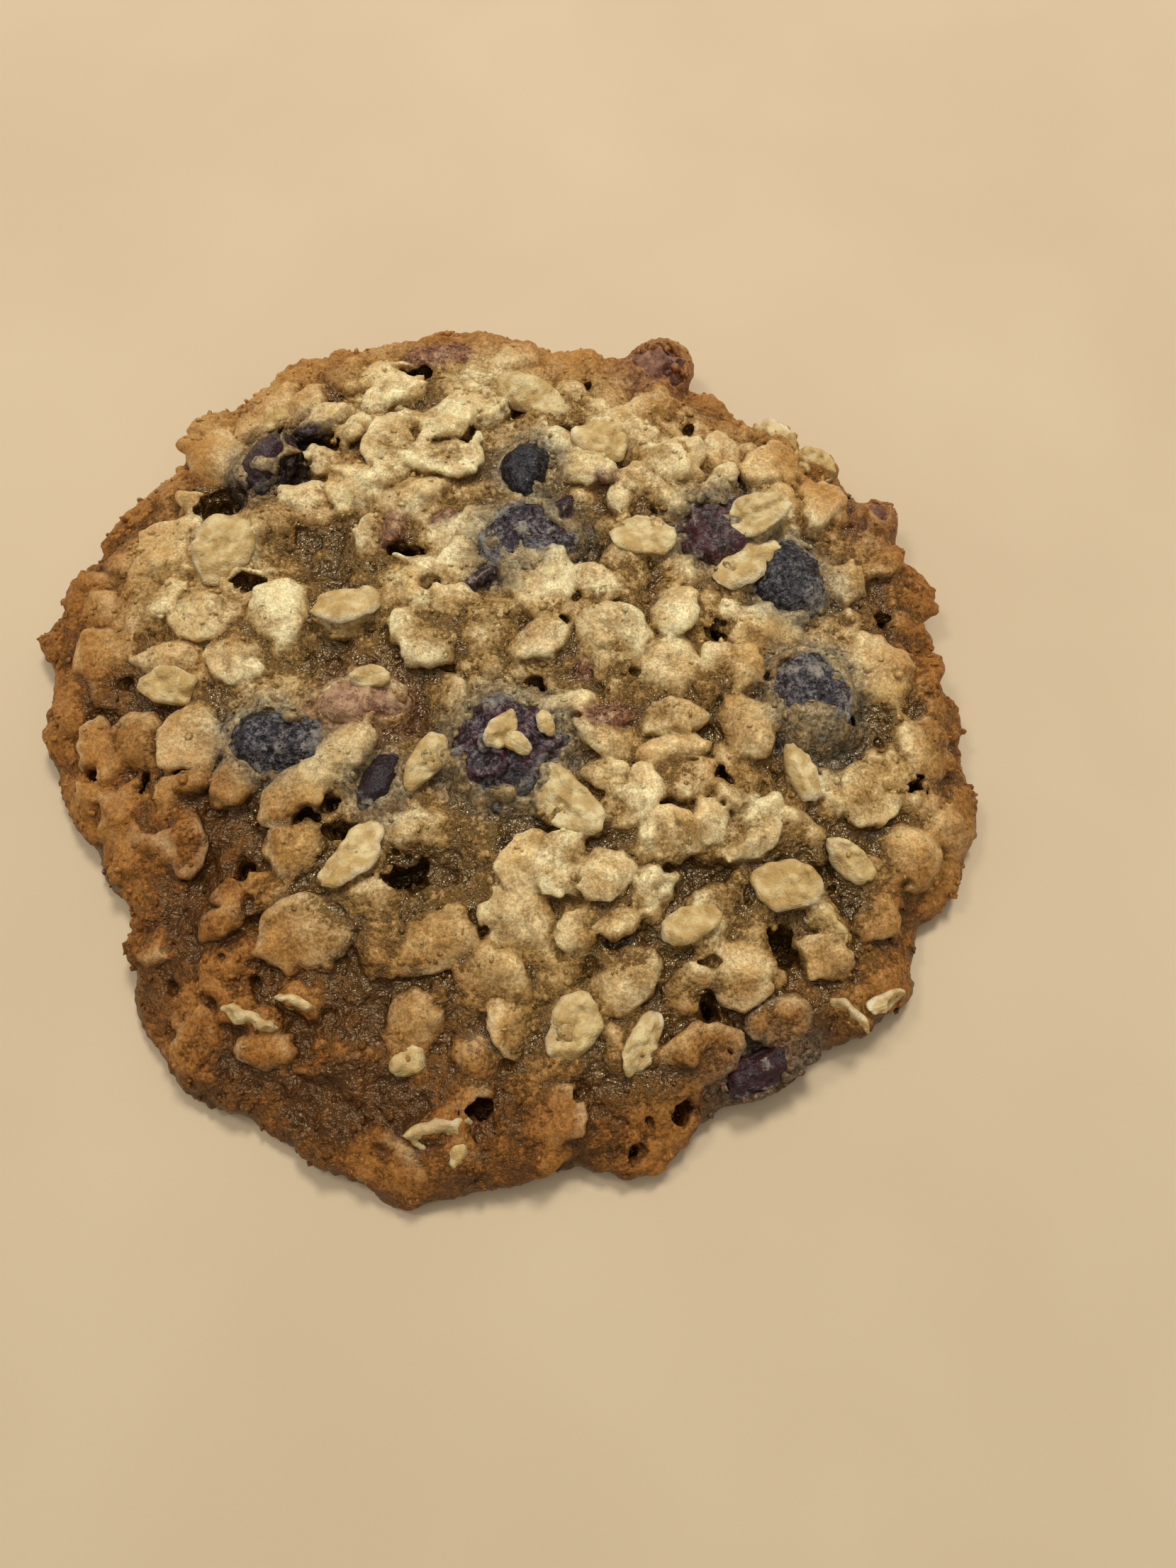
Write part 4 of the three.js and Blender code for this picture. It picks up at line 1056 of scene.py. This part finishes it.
class Shader:
    """A material's node tree, built by short calls."""

    def __init__(self, name):
        self.material = bpy.data.materials.new(name)
        self.material.use_nodes = True
        self.nodes = self.material.node_tree.nodes
        self.links = self.material.node_tree.links
        self.surface = self.nodes["Principled BSDF"]
        place = self.nodes.new("ShaderNodeTexCoord").outputs["Object"]
        self.place = self.scaled(place, 1 / MM)

    def put(self, value, socket):
        if isinstance(value, bpy.types.NodeSocket):
            self.links.new(value, socket)
        else:
            socket.default_value = value

    def node(self, kind, output, inputs, **settings):
        """The named output of a new node with the given inputs and settings."""
        node = self.nodes.new(f"ShaderNode{kind}")
        for name, value in settings.items():
            setattr(node, name, value)
        for name, value in inputs.items():
            self.put(value, node.inputs[name])
        return node.outputs[output]

    def attribute(self, name):
        return self.node("Attribute", "Fac", {}, attribute_name=name)

    def noise(self, size, detail=2.0, roughness=0.55):
        """Noise from 0 to 1, with lumps of the given size in millimetres."""
        inputs = {"Vector": self.place, "Scale": 1 / size, "Detail": detail, "Roughness": roughness}
        return self.node("TexNoise", "Fac", inputs)

    def grains(self, size):
        """The distance to the nearest of scattered grains, from 0 at one."""
        return self.node("TexVoronoi", "Distance", {"Vector": self.place, "Scale": 1 / size})

    def plus(self, a, b, clamp=False):
        return self.node("Math", "Value", {0: a, 1: b}, operation="ADD", use_clamp=clamp)

    def times(self, a, b):
        return self.node("Math", "Value", {0: a, 1: b}, operation="MULTIPLY")

    def step(self, value, low, high, start=0.0, end=1.0):
        """A value mapped smoothly from one span to another."""
        inputs = {"Value": value, "From Min": low, "From Max": high, "To Min": start, "To Max": end}
        return self.node("MapRange", "Result", inputs, interpolation_type="SMOOTHSTEP")

    def mix(self, amount, a, b):
        return self.node("Mix", 2, {0: amount, 6: a, 7: b}, data_type="RGBA")

    def scaled(self, tone, factor):
        """A colour or place multiplied by a factor."""
        return self.node("VectorMath", "Vector", {0: tone, "Scale": factor}, operation="SCALE")

    def bump(self, height, distance, strength, normal=None):
        inputs = {"Distance": distance * MM, "Strength": strength, "Height": height}
        if normal is not None:
            inputs["Normal"] = normal
        return self.node("Bump", "Normal", inputs)

    def finish(self, **inputs):
        """The material, with the surface's inputs set by their names."""
        for name, value in inputs.items():
            self.put(value, self.surface.inputs[name.replace("_", " ")])
        return self.material


def dough_material():
    """Matte golden crumb on the flakes, shiny brown dough between them, browner at the rim."""
    s = Shader("baked_dough")
    brown, under = s.attribute("brown"), s.attribute("under")
    patch, grain, fine = s.noise(1.8, 3), s.noise(0.5, 3, 0.65), s.noise(0.2, 2)
    toast = s.plus(s.times(s.attribute("tint"), 0.6), s.step(s.noise(6), 0.35, 0.7, -0.2, 0.35))
    toast = s.plus(toast, s.times(brown, 0.9), clamp=True)
    coat = s.mix(toast, colour(243, 228, 178), colour(210, 166, 94))
    coat = s.mix(s.step(s.noise(2.0, 2, 0.5), 0.4, 0.65, 0.0, 0.55), coat, colour(186, 142, 76))
    coat = s.mix(s.times(brown, 0.9), coat, colour(186, 134, 68))
    middle = s.mix(brown, colour(152, 116, 60), colour(148, 96, 42))
    wet = s.mix(s.step(patch, 0.3, 0.7), colour(94, 64, 22), colour(46, 29, 8))
    wet = s.mix(brown, wet, colour(58, 32, 10))
    raised = s.times(s.attribute("crest"), 0.6)
    for term in (
        # The crumb term is painted shade in small hollows and painted light on small bumps.
        s.times(s.attribute("oat"), 0.45), s.times(s.attribute("crumb"), 0.25),
        # The seam term darkens the seams between flakes: painted shade.
        s.step(patch, 0.25, 0.75, -0.15, 0.15), s.times(brown, -0.15), s.times(s.attribute("seam"), -0.14),
        s.step(s.noise(9, 1), 0.35, 0.65, -0.24, 0.2), s.step(grain, 0.25, 0.75, -0.15, 0.15),
    ):
        raised = s.plus(raised, term)
    cover = s.step(raised, 0.0, 0.6)
    crumb = s.scaled(s.mix(cover, wet, middle), s.step(s.noise(0.3, 1), 0.3, 0.7, 0.78, 1.2))
    base = s.mix(s.step(raised, 0.36, 1.25), crumb, coat)
    # Pale line on the raised edges of coated flakes: partly their paler edge, partly painted highlight.
    base = s.mix(s.times(s.attribute("cut"), 0.5), base, colour(240, 222, 172))
    base = s.mix(s.times(brown, s.step(patch, 0.25, 0.75, 0.08, 0.36)), base, colour(138, 86, 36))
    grey = s.mix(s.step(grain, 0.3, 0.7), colour(52, 46, 40), colour(122, 112, 92))
    base = s.mix(s.times(s.attribute("stain"), s.step(patch, 0.3, 0.7, 0.45, 0.95)), base, grey)
    skin = s.mix(s.step(grain, 0.35, 0.65), colour(84, 42, 38), colour(148, 104, 74))
    base = s.mix(s.times(s.attribute("blush"), 0.65), base, skin)
    streak = s.mix(s.step(grain, 0.4, 0.7), colour(22, 13, 22), colour(78, 62, 66))
    base = s.mix(s.attribute("streak"), base, streak)
    crust = s.mix(s.step(patch, 0.3, 0.7), colour(150, 100, 50), colour(118, 72, 32))
    base = s.scaled(s.mix(under, base, crust), s.step(s.plus(grain, fine), 0.7, 1.3, 0.69, 1.25))
    # Painted shade of pinholes: scattered dots darkened to half, with no holes in the mesh under them.
    specks = s.plus(s.grains(2.6), s.step(patch, 0.3, 0.6, 0.0, 0.06))
    base = s.scaled(base, s.step(specks, 0.05, 0.12, 0.5, 1.0))
    rough = s.plus(s.step(cover, 0.0, 0.8, 0.15, 0.34), s.times(brown, 0.12))
    rough = s.plus(rough, s.times(under, 0.4))
    sparkle = s.times(s.noise(0.75, 2, 0.6), s.step(cover, 0.2, 1.0, 1.1, 0.3))
    normal = s.bump(sparkle, 0.6, 0.9, s.bump(fine, 0.05, 0.4))
    gloss = s.times(s.step(cover, 0.1, 0.8, 1.0, 0.5), s.step(brown, 0.0, 1.0, 1.0, 0.5))
    return s.finish(Base_Color=base, Roughness=rough, Normal=normal, Specular_IOR_Level=gloss,
                    Specular_Tint=(1.0, 0.83, 0.52, 1), Subsurface_Weight=0.35,
                    Subsurface_Radius=(1.5, 0.8, 0.3), Subsurface_Scale=1.0 * MM)


def flake_material():
    """Bare oat: golden with fine lengthwise lines, paler at the cut edge and toasted in patches."""
    s = Shader("oat_flake")
    patch, grain = s.noise(1.8, 3), s.noise(0.45, 3, 0.65)
    line = {"W": s.attribute("line"), "Scale": 1.1, "Detail": 2}
    stripes = s.node("TexNoise", "Fac", line, noise_dimensions="1D")
    toast = s.plus(s.step(patch, 0.35, 0.7, 0.0, 0.8), s.times(s.attribute("tint"), 0.45), clamp=True)
    base = s.mix(toast, colour(246, 228, 174), colour(224, 186, 112))
    base = s.mix(s.step(s.attribute("edge"), 0.72, 0.96, 0.0, 0.65), base, colour(252, 240, 206))
    base = s.scaled(base, s.step(stripes, 0.3, 0.7, 0.93, 1.03))
    dust = s.step(s.plus(patch, s.times(grain, 0.7)), 0.62, 1.02, 0.0, 0.75)
    base = s.mix(dust, base, colour(182, 148, 88))
    base = s.scaled(base, s.step(grain, 0.25, 0.75, 0.76, 1.12))
    normal = s.bump(stripes, 0.1, 0.25, s.bump(grain, 0.3, 0.9))
    return s.finish(Base_Color=base, Roughness=0.55, Normal=normal, Specular_IOR_Level=0.35,
                    Subsurface_Weight=0.2, Subsurface_Radius=(1.2, 0.7, 0.35), Subsurface_Scale=0.9 * MM)


def berry_material():
    """Dark wrinkled skin, purple-black to maroon, under a torn, grainy film of dough and flour."""
    s = Shader("cranberry_skin")
    film_red, flour = s.attribute("film_red"), s.attribute("frost")
    patch, grain, frost = s.noise(1.5, 3), s.noise(0.35, 3, 0.7), s.noise(0.22, 2, 0.6)
    skin = s.mix(s.attribute("red"), colour(12, 13, 22), colour(66, 15, 27))
    skin = s.mix(s.step(patch, 0.45, 0.7), skin, colour(13, 8, 13))
    # Painted shade in the creases of the wrinkled skin.
    skin = s.mix(s.times(s.attribute("crease"), 0.6), skin, colour(9, 6, 9))
    skin = s.mix(film_red, skin, s.mix(flour, colour(84, 42, 36), colour(126, 82, 62)))
    red_film = s.mix(flour, colour(158, 108, 82), colour(202, 166, 126))
    dark_red_film = s.mix(flour, colour(104, 64, 50), colour(156, 114, 84))
    pale_film = s.mix(film_red, colour(164, 154, 132), red_film)
    dark_film = s.mix(film_red, colour(84, 82, 82), dark_red_film)
    dough = s.mix(s.step(patch, 0.3, 0.7), pale_film, dark_film)
    torn = s.plus(s.attribute("film"), s.step(s.noise(0.8, 3, 0.7), 0.3, 0.7, -0.45, 0.45))
    torn = s.step(s.plus(torn, s.step(grain, 0.3, 0.7, -0.35, 0.35)), 0.35, 1.25)
    base = s.mix(torn, skin, dough)
    specks = s.step(s.plus(s.noise(0.55, 3, 0.7), s.times(frost, 0.5)), 0.66, 0.94, 0.0, 0.75)
    dusting = s.times(s.times(specks, s.step(s.noise(2.2, 2), 0.35, 0.6, 0.25, 1.0)), flour)
    base = s.mix(dusting, base, s.mix(film_red, colour(136, 130, 130), colour(196, 160, 120)))
    normal = s.bump(frost, 0.1, 0.7, s.bump(grain, 0.25, 0.8))
    return s.finish(Base_Color=base, Roughness=s.step(torn, 0.0, 0.8, 0.24, 0.65), Normal=normal,
                    Specular_IOR_Level=0.35)


def floor_material():
    s = Shader("pale_floor")
    base = s.mix(s.step(s.noise(60, 3), 0.3, 0.7), colour(208, 186, 152), colour(214, 193, 159))
    return s.finish(Base_Color=base, Roughness=0.8, Normal=s.bump(s.noise(0.5, 3), 0.05, 0.3))


def add_object(name, data, place=(0, 0, 0), turn=(0, 0, 0)):
    added = bpy.data.objects.new(name, data)
    added.location = place
    added.rotation_euler = turn
    bpy.context.scene.collection.objects.link(added)
    return added


def make_stage():
    """A pale floor, soft lights from behind and above, and the camera."""
    mesh = bpy.data.meshes.new("floor")
    corners = [(FLOOR_HALF * x, FLOOR_HALF * y, 0) for x, y in ((-1, -1), (1, -1), (1, 1), (-1, 1))]
    mesh.from_pydata(corners, [], [(0, 1, 2, 3)])
    mesh.materials.append(floor_material())
    floor = add_object("floor", mesh)
    scene = bpy.context.scene
    scene.world = bpy.data.worlds.new("studio")
    scene.world.use_nodes = True
    background = scene.world.node_tree.nodes["Background"]
    background.inputs["Color"].default_value = WORLD_COLOUR
    background.inputs["Strength"].default_value = WORLD_STRENGTH
    for name, (x, y, z), width, energy in LIGHTS:
        lamp = bpy.data.lights.new(name, "AREA")
        lamp.energy = energy
        lamp.size = width
        lamp.color = LIGHT_COLOUR
        towards_middle = (math.atan2(math.hypot(x, y), z), 0, math.atan2(-y, -x) - math.pi / 2)
        add_object(name, lamp, (x, y, z), towards_middle)
    lens = bpy.data.cameras.new("camera")
    lens.lens = CAMERA_LENS
    lens.sensor_width = 36
    lens.clip_start = 0.005
    scene.camera = add_object("camera", lens, (CAMERA_PLACE + MIDDLE) * MM, (math.radians(CAMERA_TILT), 0, 0))
    scene.view_settings.view_transform = "Standard"


flakes = place_flakes()
fields = bake_body(flakes)
dough = dough_material()
make_crumbs(*make_body(fields, dough), dough)
make_bare_flakes(flakes, fields, flake_material())
skin = berry_material()
for number in range(len(BERRIES)):
    make_berry(number, skin)
make_stage()
